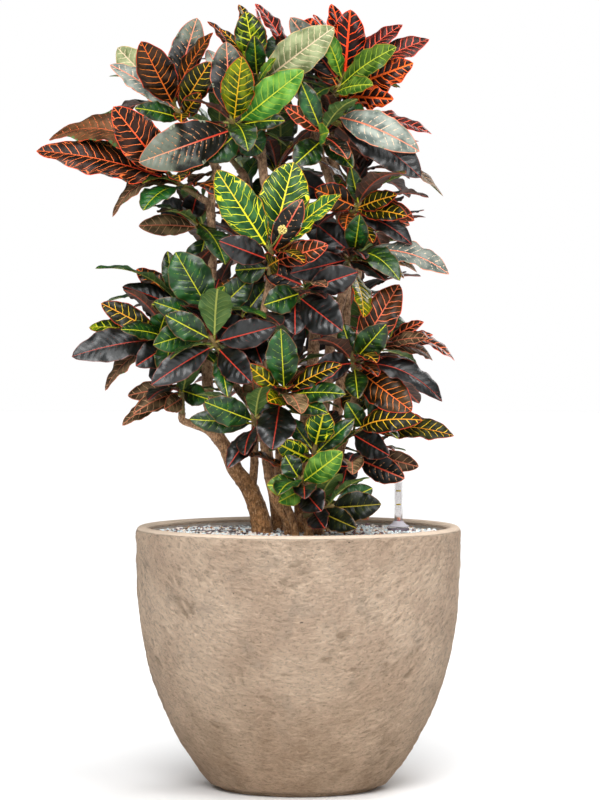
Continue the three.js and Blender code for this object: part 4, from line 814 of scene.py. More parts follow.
SHOOTS = {
    "shoot_crown_left": shoot([-156, -12, 845], [-0.6, -0.1, 0.8], [
        [-35, -52, 72, 46, "umber"], [31, 25, 106, 41, "slate"], [52, 8, 85, 24, "umber"],
        [49, -42, 48, 36, "olive"], [37, -40, 10, 24, "olive"], [-75, -10, 46, 30, "frost"],
        [-68, 36, 70, 44, "silver"], [-44, -34, -8, 24, "green"],
    ], more=1),
    "shoot_red_left": shoot([-155, -40, 750], [-0.8, -0.3, 0.5], [
        [-164, -20, 34, 50, "ember"], [-153, 44, 50, 38, "bronze", 0.25], [-68, -62, 86, 52, "ember"],
        [-72, -34, -46, 18, "dull", 0.3],
    ]),
    "shoot_under_red_left": shoot([-133, 8, 702], [-0.75, 0.2, 0.6], [
        [-64, -10, -8, 26, "dull"], [4, -26, -78, 40, "green"], [-38, 44, 20, 34, "night"],
        [10, -40, 34, 30, "night"],
    ]),
    "shoot_crown_middle": shoot([-82, -50, 820], [-0.4, -0.8, 0.35], [
        [-111, -40, -51, 58, "slate"], [89, -34, 61, 44, "young"], [14, -42, 77, 42, "gold"],
        [-6, 6, 98, 44, "slate"], [66, -40, 0, 22, "green"], [-30, 34, 90, 26, "frost"],
        [-30, -16, -48, 40, "green"], [38, 10, -36, 40, "green"],
    ]),
    "shoot_crown_top": shoot([-51, 10, 886], [0, 0.1, 1], [
        [-14, -8, 72, 40, "blotched"], [-3, -38, 40, 26, "green"], [-23, 34, 84, 18, "olive"],
        [-2, 22, 78, 13, "rose"], [-62, 20, 62, 20, "umber"], [-44, -24, 50, 16, "olive"],
        [95, -36, 51, 50, "silver", 0.12], [-77, -48, -37, 16, "frost", 0.16],
        [24, -30, 12, 12, "young"],
    ]),
    "shoot_crown_back_middle": shoot([-8, 38, 893], [0.4, 0.3, 0.8], [
        [-46, 6, 78, 18, "rose"], [26, 30, 62, 30, "flame"], [-22, 46, 42, 34, "green"],
        [40, -8, 20, 30, "night"],
    ], more=1),
    "shoot_crown_right": shoot([57, 10, 876], [0.5, 0.25, 0.8], [
        [-30, -46, 60, 22, "young"], [63, -58, 35, 28, "young"], [7, -14, 84, 44, "flame"],
        [-16, 26, 94, 30, "flame"], [-38, 40, 82, 26, "flame"], [72, 8, 67, 22, "rose"],
        [105, -6, 49, 36, "rose"], [84, -36, 17, 40, "lobed"], [60, -34, -27, 30, "lobed"],
        [-28, -14, 26, 30, "umber"], [-67, 10, 74, 38, "slate"], [34, -58, -12, 20, "young"],
        [40, 44, 58, 26, "rose"],
    ]),
    "shoot_silver_right": shoot([49, -45, 829], [0.5, -0.8, 0.3], [
        [98, -30, -46, 42, "frost", 0.26], [100, -46, -78, 44, "night", 0.1],
        [128, -58, -100, 10, "dull", 0.05], [88, 0, -78, 22, "dull"], [34, 6, 2, 32, "green"],
        [114, 14, -24, 16, "rose"],
    ]),
    "shoot_under_crown_right": shoot([29, -60, 806], [0, -0.95, 0.3], [
        [37, -36, -44, 26, "green"], [30, -56, -34, 22, "slate"], [-26, -16, 62, 26, "green"],
        [-46, -30, 32, 20, "rust"], [-34, -20, -40, 36, "green"], [8, -50, -2, 28, "young"],
    ]),
    "shoot_yellow_front": shoot([-33, -95, 663], [0.05, -0.6, 0.8], [
        [-65, -26, 96, 50, "net"], [27, 12, 107, 60, "net"], [38, -32, 61, 32, "slate"],
        [85, -44, 67, 30, "net"], [-62, -30, 11, 34, "night"], [69, -34, 6, 30, "rust"],
        [10, -52, -12, 30, "olive"], [-44, 24, -24, 36, "green"],
    ]),
    "shoot_upper_right": shoot([74, -46, 718], [0.5, -0.7, 0.5], [
        [-10, -16, 46, 20, "green"], [46, -40, 12, 24, "olive"], [58, -44, -14, 26, "olive"],
        [68, 4, -18, 24, "bronze", 0.25], [62, -20, -24, 22, "slate"],
        [64, -22, -48, 26, "night", 0.15], [16, -46, -46, 18, "olive"], [-54, -14, 20, 36, "umber"],
    ], more=1),
    "shoot_waist_right": shoot([68, -56, 660], [0.35, -0.8, 0.5], [
        [115, -18, -26, 22, "frost", 0.15], [76, -40, -24, 14, "dull", 0.15],
        [54, -52, -34, 22, "green", 0.2], [36, -62, -34, 18, "night"], [-78, -36, -25, 36, "night"],
        [10, -56, -78, 18, "gold"], [6, -20, 46, 30, "green"], [-44, 16, 34, 36, "night"],
    ]),
    "shoot_waist_front": shoot([10, -85, 619], [0.55, -0.6, 0.6], [
        [43, -38, -53, 50, "night"], [-52, -26, -22, 36, "green"], [-14, -36, -58, 34, "night"],
        [62, 2, 18, 36, "night"], [-52, -40, 22, 28, "slate"],
    ]),
    "shoot_waist_inner": shoot([-70, -52, 580], [-0.55, -0.4, 0.7], [
        [-10, -26, -62, 34, "night"], [26, -34, -54, 34, "night"], [34, 8, 44, 32, "green"],
        [-40, 20, 30, 34, "night"],
    ]),
    "shoot_mid_right": shoot([66, -75, 534], [-0.1, -0.8, 0.6], [
        [40, -24, 40, 36, "green"], [-12, -12, 40, 24, "green"], [57, 14, 88, 44, "rust"],
        [108, -20, -54, 24, "night", 0.16], [71, -34, -65, 46, "umber"], [-46, -20, -12, 34, "night"],
        [6, -40, -50, 30, "green"],
    ]),
    "shoot_mid_far_right": shoot([112, -15, 552], [0.8, 0.3, 0.5], [
        [42, -14, 24, 14, "rust"], [54, 4, 8, 16, "rust"], [46, -28, 4, 14, "dull"],
        [80, -8, -24, 14, "rust", 0.22], [54, -22, -24, 18, "dull", 0.2], [10, 44, 32, 32, "green"],
        [30, -30, -46, 30, "night"],
    ]),
    "shoot_lower_right": shoot([86, -68, 450], [0.8, -0.5, 0.4], [
        [35, -22, 58, 32, "green"], [64, -36, 8, 30, "olive", 0.25], [103, -14, -12, 30, "olive", 0.1],
        [-6, -20, 74, 16, "green"], [40, 26, 24, 34, "olive"], [24, -44, -34, 34, "night"],
        [-28, -26, 30, 26, "green"],
    ]),
    "shoot_lower_far_right": shoot([84, -25, 415], [0.85, 0.4, 0.3], [
        [64, 2, -17, 26, "dull"], [46, -28, -30, 34, "slate"], [-30, -40, -36, 30, "night"],
        [34, 40, -20, 34, "green"],
    ]),
    "shoot_green_left": shoot([-106, -70, 587], [0, -0.75, 0.66], [
        [-43, -12, 74, 54, "green"], [-69, -42, -38, 42, "green"], [18, -40, 32, 16, "young"],
        [50, -8, 44, 34, "green"], [52, -36, -26, 38, "night"], [-70, 0, 14, 30, "green"],
    ]),
    "shoot_waist_left": shoot([-149, -20, 598], [-0.7, -0.1, 0.7], [
        [-12, 4, 65, 24, "green"], [31, -14, 22, 22, "green"], [-67, -8, 21, 26, "night"],
        [-51, 24, 43, 24, "umber"], [-30, -46, 0, 24, "green"],
    ], more=1),
    "shoot_far_left": shoot([-171, -40, 561], [-0.85, -0.3, 0.42], [
        [-70, -6, 38, 30, "olive"], [-86, 14, 8, 26, "blotched"], [-44, -52, 6, 22, "green"],
        [-104, -24, -27, 36, "night"], [-65, -10, -69, 20, "dull", 0.18], [-26, -34, -38, 36, "night"],
        [10, -40, 26, 32, "green"],
    ]),
    "shoot_lower_left": shoot([-143, -30, 502], [0, -0.3, 0.95], [
        [-67, 12, -17, 24, "dull"], [-73, -20, -53, 18, "dull", 0.14], [-20, -44, -32, 24, "dull"],
        [34, -34, -20, 28, "green"], [-40, 40, 20, 36, "night"], [-58, -30, -38, 22, "dull", 0.14],
    ]),
    "shoot_mid_left": shoot([-104, -95, 555], [-0.3, -0.8, 0.5], [
        [48, -36, -51, 38, "night"], [-73, -26, -54, 34, "night"], [78, -10, 17, 36, "night"],
        [19, -34, -69, 26, "green"], [-56, -16, 30, 34, "green"],
    ]),
    "shoot_mid_front": shoot([-17, -100, 492], [0.2, -0.8, 0.5], [
        [-4, -28, 77, 40, "green"], [74, -34, -2, 24, "green"], [-20, -56, -10, 22, "gold"],
        [70, 4, 33, 22, "olive"], [-46, -8, 34, 22, "gold"], [-14, -38, -68, 48, "night"],
        [52, -52, -24, 24, "green"],
    ]),
    "shoot_lower_front_left": shoot([-54, -90, 459], [-0.2, -0.85, 0.45], [
        [-59, -34, 22, 36, "green"], [-78, -8, 0, 30, "green"], [-31, -34, -58, 28, "night"],
        [-10, -50, -42, 16, "night"], [30, -14, 42, 34, "green"],
    ]),
    "shoot_lower_front": shoot([20, -88, 425], [0.15, -0.5, 0.85], [
        [12, -34, 48, 36, "net"], [-46, -26, 6, 30, "net"], [-30, 8, 34, 22, "green"],
        [48, -4, 34, 24, "green"], [40, -30, -22, 32, "night"],
    ]),
    "shoot_low_young": shoot([2, -112, 386], [-0.2, -0.8, 0.55], [
        [51, -36, 36, 36, "young"], [-26, -40, -24, 26, "young"], [-18, -6, 30, 28, "green"],
        [26, -30, -36, 36, "night"], [-40, 0, -6, 28, "young"],
    ]),
    "shoot_low_right": shoot([40, -90, 353], [0.8, -0.5, 0.3], [
        [60, -22, 4, 36, "moss"], [-8, -44, -24, 30, "night"], [30, -38, -24, 30, "moss"],
        [46, -4, -16, 10, "slate"], [50, 6, 22, 28, "green"],
    ]),
    "shoot_back_high_left": shoot([-98, 98, 796], [-0.6, 0.3, 0.75], more=5),
    "shoot_back_high_middle": shoot([-22, 122, 776], [0.4, 0.55, 0.7], more=5),
    "shoot_back_upper_left": shoot([-74, 114, 676], [-0.6, 0.6, 0.5], more=5),
    "shoot_back_upper_middle": shoot([-16, 144, 640], [0.3, 0.85, 0.4], more=5),
    "shoot_back_waist_left": shoot([-104, 84, 548], [-0.85, 0.15, 0.5], more=5),
    "shoot_back_low_left": shoot([-50, 132, 496], [-0.1, 0.9, 0.4], more=5),
    "shoot_back_crown_right": shoot([46, 112, 846], [0.1, 0.35, 0.9], more=5),
    "shoot_back_high_right": shoot([76, 108, 764], [0.6, 0.4, 0.6], more=5),
    "shoot_back_upper_right": shoot([92, 100, 668], [0.8, 0.3, 0.45], more=5),
    "shoot_back_waist_right": shoot([70, 140, 598], [0.2, 0.9, 0.4], more=5),
    "shoot_back_low_right": shoot([84, 104, 502], [0.6, 0.6, 0.4], more=5),
}

# %% [markdown]
# ## Stems and twigs
# The wood is smooth and brown, with leaf scars that ring it every two centimetres, a swelling where
# a limb forks, and a flare where a stem enters the granules. Each limb is a tube along a smooth curve
# through its points. The tube's radius shrinks along the way and swells at each scar, and noise
# makes its section uneven. The limbs of a stem overlap where they fork, and form one piece.


# %% Wood: the middle line of a limb
def smooth_path(points, spacing):
    """Places, tangents and distances at even spacing along a centripetal Catmull-Rom curve.

    Between two points the curve is the cubic whose slopes follow the neighbours, each weighed by the
    root of its distance. It is sampled densely, then again at equal steps of its length."""
    points = np.asarray(points, float)
    wide = np.vstack([2 * points[0] - points[1], points, 2 * points[-1] - points[-2]])
    before, start, end, after = wide[:-3], wide[1:-2], wide[2:-1], wide[3:]
    gap_before, gap, gap_after = (
        np.sqrt(np.linalg.norm(b - a, axis=1, keepdims=True))
        for a, b in ((before, start), (start, end), (end, after))
    )
    slope_start = (start - before) / gap_before - (end - before) / (gap_before + gap)
    slope_start = (slope_start + (end - start) / gap) * gap
    slope_end = (end - start) / gap - (after - start) / (gap + gap_after)
    slope_end = (slope_end + (after - end) / gap_after) * gap
    t = np.linspace(0, 1, 40)[None, :, None]
    start, end = start[:, None], end[:, None]
    slope_start, slope_end = slope_start[:, None], slope_end[:, None]
    curve = (start + slope_start * t + (3 * (end - start) - 2 * slope_start - slope_end) * t**2
             + (2 * (start - end) + slope_start + slope_end) * t**3).reshape(-1, 3)
    steps = np.linalg.norm(np.diff(curve, axis=0), axis=1)
    travelled = np.concatenate([[0], np.cumsum(steps)])
    count = max(3, round(travelled[-1] / spacing) + 1)
    distance = np.linspace(0, travelled[-1], count)
    places = np.stack([np.interp(distance, travelled, curve[:, axis]) for axis in range(3)], -1)
    return places, unit(np.gradient(places, axis=0)), distance


SHOOT_REACH = 40
BRANCH_END = 9


def limb_points(limb):
    """The limb's points, and for one that carries a shoot also the two where the shoot stands."""
    points = [np.array(point, float) for point in limb[2]]
    if len(limb) > 3:
        shoot = SHOOTS[limb[3]]
        foot = shoot["at"] - SHOOT_REACH * shoot["lean"]
        points += [foot - BRANCH_END * shoot["lean"], foot]
    return np.array(points)


# %% Wood: tubes with scars
WOOD_SPACING = 3.2
SCAR_SPACING = 19.0
SCAR_LENGTH = 2.2
SCAR_SWELL = 0.13
FLARE = 0.15  # share that the radius grows by at the granules
FLARE_HEIGHT = 13
FLARE_RADIUS = 5.2  # thinner wood has no flare
FORK_SWELL = 0.22
FORK_LENGTH = 7.0
LUMP_SIZE = 9.0
LONG_LUMP_SIZE = 7.0
YOUNG_FROM = 300  # height where the wood starts to look younger
YOUNG_SPAN = 420
THICKEST = 15
GRANULE_LEVEL = 314


def rings_round(tangents, columns):
    """A unit circle of points square to each tangent: (rows, columns, 3).

    Its two directions come from the axis that the tangents lean to least."""
    axis = np.eye(3)[np.argmin(np.abs(tangents).max(axis=0))]
    one = unit(np.cross(tangents, axis))
    other = np.cross(tangents, one)
    angle = circle(columns)[:, None]
    return one[:, None] * np.cos(angle) + other[:, None] * np.sin(angle)


def wooden_limb(limb, seed, columns):
    """A tube of radius r(t) * (1 + scars + flare + noise) round the limb's middle line."""
    places, tangents, distance = smooth_path(limb_points(limb), WOOD_SPACING)
    share = distance / distance[-1]
    radius = limb[0] + (limb[1] - limb[0]) * share
    turns = distance / SCAR_SPACING + chance(seed)
    to_scar = (turns - np.floor(turns) - 0.5) * SCAR_SPACING / SCAR_LENGTH
    scar = np.exp(-to_scar**2)
    scar_side = 0.55 + 0.45 * np.cos(circle(columns)[None, :] - 2.4 * np.floor(turns)[:, None])
    ring = rings_round(tangents, columns)
    off_middle = ring * radius[:, None, None]
    lumps = noise((places[:, None] + off_middle) / LUMP_SIZE, seed)
    long_lumps = noise((places[:, None] * 0.35 + off_middle * 1.6) / LONG_LUMP_SIZE, seed + 5)
    above = np.abs(places[:, 2] - GRANULE_LEVEL)
    flare = FLARE * np.exp(-above / FLARE_HEIGHT) * (radius > FLARE_RADIUS)
    fork = FORK_SWELL * np.exp(-distance / FORK_LENGTH)
    grown = 1 + SCAR_SWELL * scar[:, None] * scar_side + 0.045 * lumps + 0.055 * long_lumps
    grown = grown + flare[:, None] + fork[:, None]
    points = places[:, None] + ring * (radius[:, None] * grown)[..., None]
    # The age mark is 0 on the oldest wood, low and thick, and 1 on the youngest.
    high = np.clip((places[:, 2] - YOUNG_FROM) / YOUNG_SPAN, 0, 1)
    age = high * 0.7 + 0.3 * (1 - radius / THICKEST).clip(0, 1)
    marks = {
        "age": np.append(np.repeat(age, columns), [age[0], age[-1]]),
        "scar": np.append((scar[:, None] * scar_side).ravel(), [0, 0]),
    }
    return with_ends(points, places[[0, -1]]) * MM, ring_faces(len(places), columns), marks


# %% Wood: finish
def bark_finish():
    """Brown bark: old wood darker and warmer, young wood paler and greyer, cracks along the limb."""
    material, tree = start_finish("croton_bark")
    where = place_on_object(tree)
    along = place_on_object(tree, stretch=(1, 1, 0.45))
    streaks = cloud(tree, along, 460, detail=4, rough=0.65, distortion=0.3)
    blots = cloud(tree, where, 120, detail=5, rough=0.65)
    old = shades(tree, blots, 0.36, 0.64, (130, 88, 48), (194, 138, 84))
    young = shades(tree, blots, 0.36, 0.64, (150, 112, 82), (220, 176, 140))
    base = mix(tree, fade(tree, attribute(tree, "age"), 0.15, 0.6), old, young)
    base = coats(tree, base,
                 (streaks, 0.48, 0.38, 0.65, (66, 44, 28)),
                 (streaks, 0.54, 0.64, 0.6, (236, 194, 148)))
    pores = fade(tree, cloud(tree, where, 480, detail=1), 0.68, 0.74, 0, 0.6)
    base = mix(tree, pores, base, colour(200, 164, 124))
    base = coats(tree, base, (attribute(tree, "scar"), 0.3, 0.9, 0.4, (86, 62, 46)))
    rough = bump(tree, streaks, 3.0 * MM)
    grain = bump(tree, maths(tree, "ADD", blots, pores), 0.8 * MM, 0.6, under=rough)
    return end_finish(material, base, 0.62, grain)


bark = bark_finish()
for number, (stem_name, limbs) in enumerate(STEMS.items()):
    parts = [wooden_limb(limb, number * 20 + place, 20 if limb[0] > 7 else 14)
             for place, limb in enumerate(limbs)]
    points, faces, marks = join_parts(parts)
    piece = make_piece(stem_name.replace("stem", "wood"), points, faces, [bark], marks)
    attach(piece, "planter")
    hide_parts(stem_name)
    print(piece.name, "limbs:", len(limbs), "faces:", len(piece.data.polygons))

# %% [markdown]
# ## Where each leaf grows
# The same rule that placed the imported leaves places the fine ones. A leaf starts on the young stem,
# the steepest highest up. Its midrib is an arch over the straight chord from its start to its tip.
# A leaf that looks slimmer than it should be for its length is one seen from its side, so it is
# turned until its real width is at least 0.36 of its length. A leaf that would pass through a branch
# or an earlier leaf has its tip swung nearer or farther until it is clear.

# %% Leaves: sizes
PETIOLE_END = 0.11
PETIOLE_HALF_WIDTH = 1.5
LEAF_SLIMNESS = 0.36
LEAF_FOLD = 0.22
LEAF_WAVE = 0.1
LEAF_BOW = 0.07
LEAF_SPACING = 26
NET_STATIONS = np.array([PETIOLE_END, 0.4, 0.74, 1.0])
SWINGS = [0, 14, -14, 28, -28, 42, -42, 56]
LINE_STRETCHES = 8
ADDED_TURN = 137.5
ADDED_TURN_SPREAD = 40
ADDED_LEAN = 0.35
ADDED_LENGTH = 112
ADDED_LENGTH_SPREAD = 34
ADDED_LOOKS = ["night", "green", "night", "dull", "green", "umber", "night", "olive"]
ADDED_LOWEST = -22
ADDED_HIGHEST = 58
TO_FRONT = np.array([0.0, -1.0, 0.0])
UP = np.array([0.0, 0.0, 1.0])


# %% Leaves: one leaf's frame
def square_to(direction, along):
    """The part of a direction that is square to along, at length 1."""
    along = unit(along)
    return unit(direction - along * (direction @ along))


def listed_leaf(shoot, row, share):
    right, away, up, seen, look = row[:5]
    bow = row[5] if len(row) > 5 else LEAF_BOW
    middle = shoot["at"]
    base = middle - LEAF_SPACING * share * shoot["lean"]
    chord = middle + np.array([right, away, up]) - base
    facing = square_to(TO_FRONT, chord)
    turned_away = np.cross(unit(chord), facing)
    turned_away = -turned_away if turned_away[2] < 0 else turned_away
    width = max(seen, LEAF_SLIMNESS * np.linalg.norm(chord))
    face = facing * (seen / width) + turned_away * math.sqrt(1 - (seen / width) ** 2)
    return {"base": base, "chord": chord, "face": face, "width": width, "look": look, "bow": bow}


def drawn_way(turn, height, lean):
    """A direction from its angles round and above the level, pulled towards the young stem's way."""
    level = math.cos(height)
    way = np.array([math.cos(turn) * level, math.sin(turn) * level, math.sin(height)])
    return unit(way + ADDED_LEAN * lean)


def added_leaf(shoot, number, count, share, seed):
    lean = shoot["lean"]
    outward = math.atan2(lean[1], lean[0])
    turn = math.radians(ADDED_TURN * number + ADDED_TURN_SPREAD * (chance(seed) - 0.5))
    climb = number / (count - 1) if count > 1 else 0.5
    height = math.radians(ADDED_LOWEST + (ADDED_HIGHEST - ADDED_LOWEST) * climb)
    length = ADDED_LENGTH + ADDED_LENGTH_SPREAD * (chance(seed + 0.5) - 0.5)
    reach = drawn_way(outward + turn, height, lean)
    look = ADDED_LOOKS[int(chance(seed + 0.25) * len(ADDED_LOOKS))]
    base = shoot["at"] - LEAF_SPACING * share * lean
    return {"base": base, "chord": reach * length, "face": square_to(UP, reach),
            "width": LEAF_SLIMNESS * length, "look": look, "bow": 2 * LEAF_BOW}


def blade_half_width(leaf, along, late=0.9, fullness=0.8):
    """Half the width is the sine of the way along, raised to late so that the widest place moves,
    and to fullness, under 1 for a fuller tip. It is never less than the petiole's."""
    share = np.clip((along - PETIOLE_END) / (1 - PETIOLE_END), 0, 1)
    half = leaf["width"] / 2 * np.sin(np.pi * share**late).clip(0) ** fullness
    return np.maximum(PETIOLE_HALF_WIDTH, half)


def leaf_places(leaf, along, across, half, arch=0.0, roll=0.0):
    """Points and normals of a leaf. along runs 0 to 1 from start to tip, across -1 to 1.

    The midrib is the chord plus an arch of 4 * bow * length * along * (1 - along). Each side rises
    from it like the side of a V, and a wave runs along the margin. A fine leaf's sides also arch
    between rib and margin, by arch, and its blade turns about the midrib by roll radians."""
    chord, face = leaf["chord"], leaf["face"]
    length = np.linalg.norm(chord)
    side = unit(np.cross(chord, face))
    along, across, half = (value[..., None] for value in np.broadcast_arrays(along, across, half))
    centre = leaf["base"] + chord * along + face * (4 * leaf["bow"] * length * along * (1 - along))
    normal = unit(face - chord / length * (4 * leaf["bow"] * (1 - 2 * along)))
    turn = roll * along
    side, normal = (side * np.cos(turn) + normal * np.sin(turn),
                    normal * np.cos(turn) - side * np.sin(turn))
    wave = LEAF_WAVE * np.sin(19 * along + 2 * across)
    lift = np.abs(across) * half * (LEAF_FOLD + wave + arch * (1 - 1.6 * np.abs(across)))
    return centre + side * across * half + normal * lift, normal


# %% Leaves: keeping clear of each other
def blade_net(leaf):
    """A coarse net of the blade: (15, 2, 3) edges and (12, 3, 3) faces over four rows of three."""
    half = np.where(NET_STATIONS < 1, blade_half_width(leaf, NET_STATIONS), 0)
    rows, _ = leaf_places(leaf, NET_STATIONS[:, None], np.array([-1.0, 0, 1])[None], half[:, None])
    near, far = rows[:-1], rows[1:]
    edges = [np.stack([near, far], 2).reshape(-1, 2, 3),
             np.stack([far[:, :-1], far[:, 1:]], 2).reshape(-1, 2, 3)]
    faces = [np.stack([near[:, :-1], far[:, :-1], far[:, 1:]], 2).reshape(-1, 3, 3),
             np.stack([near[:, :-1], far[:, 1:], near[:, 1:]], 2).reshape(-1, 3, 3)]
    return np.concatenate(edges), np.concatenate(faces)


def crossings(edges, faces):
    """How many of the lines pass through the triangles, each line with each triangle."""
    start, way = edges[:, None, 0], edges[:, None, 1] - edges[:, None, 0]
    corner = faces[None, :, 0]
    one, other = faces[None, :, 1] - corner, faces[None, :, 2] - corner
    square = np.cross(way, other)
    scale = (one * square).sum(-1)
    flat = np.abs(scale) < 1e-9
    scale = np.where(flat, 1, scale)
    offset = start - corner
    u = (offset * square).sum(-1) / scale
    turn = np.cross(offset, one)
    v = (way * turn).sum(-1) / scale
    t = (other * turn).sum(-1) / scale
    inside = (u >= 0) & (u <= 1) & (v >= 0) & (u + v <= 1) & (t >= 0) & (t <= 1)
    return int((inside & ~flat).sum())


def start_shares(listed, more):
    """How far down its young stem each leaf starts: the lowest-hanging lowest, the added between."""
    rise = [row[2] / math.hypot(*row[:3]) for row in listed]
    order = sorted(range(len(listed)), key=lambda place: -rise[place])
    shares = [order.index(place) / max(1, len(listed) - 1) for place in range(len(listed))]
    return shares + [(more - 0.5 - place) / more for place in range(more)]


def swung_leaf(shoot, number, shares, seed, swing):
    """The leaf with its tip moved away from the front by swing."""
    listed = shoot["leaves"]
    if number < len(listed):
        row = list(listed[number])
        row[1] += swing
        return listed_leaf(shoot, row, shares[number])
    leaf = added_leaf(shoot, number - len(listed), shoot["more"], shares[number], seed)
    leaf["chord"] = leaf["chord"] + np.array([0, swing, 0])
    leaf["face"] = square_to(UP, leaf["chord"])
    return leaf


def limb_edges():
    """The stems' middle lines as straight stretches."""
    edges = []
    for places, _, distance in [smooth_path(limb_points(limb), 1.0)
                                for limbs in STEMS.values() for limb in limbs]:
        even = np.linspace(0, distance[-1], LINE_STRETCHES + 1)
        knots = np.stack([np.interp(even, distance, places[:, axis]) for axis in range(3)], -1)
        edges.append(np.stack([knots[:-1], knots[1:]], 1))
    return edges


def clearest(choices, edges, faces):
    """The first leaf of the choices that crosses nothing, or else the one that crosses least."""
    best = None
    for leaf in choices:
        net = blade_net(leaf)
        crossed = crossings(np.concatenate(edges), net[1])
        crossed += crossings(net[0], np.concatenate(faces))
        if best is None or crossed < best[0]:
            best = (crossed, leaf, net)
        if crossed == 0:
            break
    return best


def lay_out_leaves():
    edges, faces = limb_edges(), [np.zeros((0, 3, 3))]
    layout, seed, met = {}, 0, 0
    for name, shoot in SHOOTS.items():
        layout[name] = []
        listed, more = shoot["leaves"], shoot["more"]
        shares = start_shares(listed, more)
        for number in range(len(listed) + more):
            seed += 1
            swung = (swung_leaf(shoot, number, shares, seed, swing) for swing in SWINGS)
            crossed, leaf, net = clearest(swung, edges, faces)
            met += crossed > 0
            leaf["chance"] = float(chance(seed + 0.77))
            layout[name].append(leaf)
            edges.append(net[0])
            faces.append(net[1])
    print("leaves as packed:", seed, "of which still meet another:", met)
    add_fillers(layout, edges, faces)
    return layout


# %% Leaves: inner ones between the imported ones
INNER_LEAVES = {
    "shoot_back_upper_right": [[-88, 20, 40, 40, "night"], [-70, -6, 10, 34, "night"]],
    "shoot_back_high_right": [[-74, 10, -26, 36, "night"], [-50, -20, -60, 34, "green"]],
    "shoot_back_low_left": [[56, 0, 80, 40, "night"]],
    "shoot_back_waist_right": [[-99, 10, -36, 40, "green"], [-60, -20, -60, 36, "night"]],
    "shoot_back_high_middle": [[-36, 8, -50, 30, "green"], [60, 0, -40, 34, "night"]],
    "shoot_back_upper_middle": [[40, -10, 60, 36, "night"]],
}
FILLERS = 9
FILLER_TRIES = 6
FILLER_SEED = 1000
SHOOT_SEEDS = 60  # counts kept for each shoot's draws
FILLER_TURN = 60
INNER_SHARE = 0.6  # how far down the young stem a listed inner leaf starts
INNER_CHANCE = 0.4
FILLER_LENGTHS = (56, 100)
FILLER_HEIGHTS = (-40, 55)
FILLER_LOOKS = ["night", "green", "night", "green", "olive", "night", "dull", "green", "umber"]
SHADE_CELL = 9
SHADE_CELLS = (64, 80)
SHADE_LOW = np.array([-340, 300])
SHADE_SHARE = 0.88


def filler_leaf(shoot, number, seed):
    """A leaf in a direction drawn by chance, that starts anywhere on the young stem."""
    turn, climb, size, look = (float(chance(seed + part)) for part in (0.1, 0.3, 0.5, 0.7))
    turn = math.radians(ADDED_TURN * number + FILLER_TURN * turn)
    height = math.radians(FILLER_HEIGHTS[0] + (FILLER_HEIGHTS[1] - FILLER_HEIGHTS[0]) * climb)
    length = FILLER_LENGTHS[0] + (FILLER_LENGTHS[1] - FILLER_LENGTHS[0]) * size
    lean = shoot["lean"]
    way = drawn_way(turn, height, lean)
    base = shoot["at"] - LEAF_SPACING * (number + 0.5) / FILLERS * lean
    return {"base": base, "chord": way * length, "face": square_to(UP, way),
            "width": (LEAF_SLIMNESS + 0.06 * size) * length, "bow": 1.6 * LEAF_BOW,
            "look": FILLER_LOOKS[int(look * len(FILLER_LOOKS))], "chance": turn % 1.0}


def front_cells(leaf):
    """The cells of the front view, SHADE_CELL millimetres wide, that the leaf's blade covers."""
    along = np.linspace(0.15, 1, 18)[:, None]
    half = blade_half_width(leaf, along)
    places, _ = leaf_places(leaf, along, np.linspace(-1, 1, 7)[None], half)
    cells = ((places.reshape(-1, 3)[:, [0, 2]] - SHADE_LOW) / SHADE_CELL).astype(int)
    return cells[:, 0], cells[:, 1]


def front_shade(leaves):
    """The cells that leaves cover, with the narrow holes between them closed."""
    shade = np.zeros(SHADE_CELLS, bool)
    for leaf in leaves:
        shade[front_cells(leaf)] = True
    steps = [(right, up) for right in (-1, 0, 1) for up in (-1, 0, 1)]
    grown = np.logical_or.reduce([np.roll(shade, step, (0, 1)) for step in steps])
    return np.logical_and.reduce([np.roll(grown, step, (0, 1)) for step in steps])


def add_fillers(layout, edges, faces):
    """Adds inner leaves by list and by chance, none that would cross another.

    One drawn by chance also has to lie before or behind packed leaves, seen from the front, so that
    the plant's outline stays as it is."""
    shade = front_shade([leaf for leaves in layout.values() for leaf in leaves])
    count = 0
    for place, (name, shoot) in enumerate(SHOOTS.items()):
        wanted = [[listed_leaf(shoot, row, INNER_SHARE) | {"chance": INNER_CHANCE}]
                  for row in INNER_LEAVES.get(name, [])]
        for number in range(FILLERS):
            first = FILLER_SEED + SHOOT_SEEDS * place + FILLER_TRIES * number
            drawn = [filler_leaf(shoot, number, first + attempt) for attempt in range(FILLER_TRIES)]
            wanted.append([leaf for leaf in drawn if shade[front_cells(leaf)].mean() > SHADE_SHARE])
        for choices in filter(None, wanted):
            crossed, leaf, net = clearest(choices, edges, faces)
            if crossed == 0:
                layout[name].append(leaf)
                edges.append(net[0])
                faces.append(net[1])
                count += 1
    print("leaves between them:", count)


leaf_layout = lay_out_leaves()

# %% [markdown]
# ## Leaf finishes
# What makes a croton is its veins. Each leaf carries its own measure in millimetres for each point:
# how far along the midrib, how far from it, and how far from the margin. A slanting line from the
# midrib is where "along less some of across" stays the same, so the side veins are the places where
# that number is a whole count of the vein spacing. They fork into a net of cells towards the margin.
# One function draws all looks, from the number of colours and widths given to it. The shade between
# the veins is pulled up into cushions by a bump, and the midrib lies in a groove.

# %% Leaves: veins
VEIN_SLANT = 0.62
VEIN_CURL = 0.007  # for each millimetre from the midrib


def leaf_measure(tree):
    """Along, off and edge in millimetres, the share of the half width, and the leaf's own chance."""
    blade = attribute(tree, "blade", 1)
    along, across, edge = node(tree, "SeparateXYZ", {"Vector": blade}).node.outputs
    off = maths(tree, "ABSOLUTE", across)
    share = maths(tree, "DIVIDE", off, maths(tree, "ADD", maths(tree, "ADD", off, edge), 0.01))
    return SimpleNamespace(blade=blade, along=along, across=across, off=off, edge=edge, share=share,
                           own=attribute(tree, "own"))


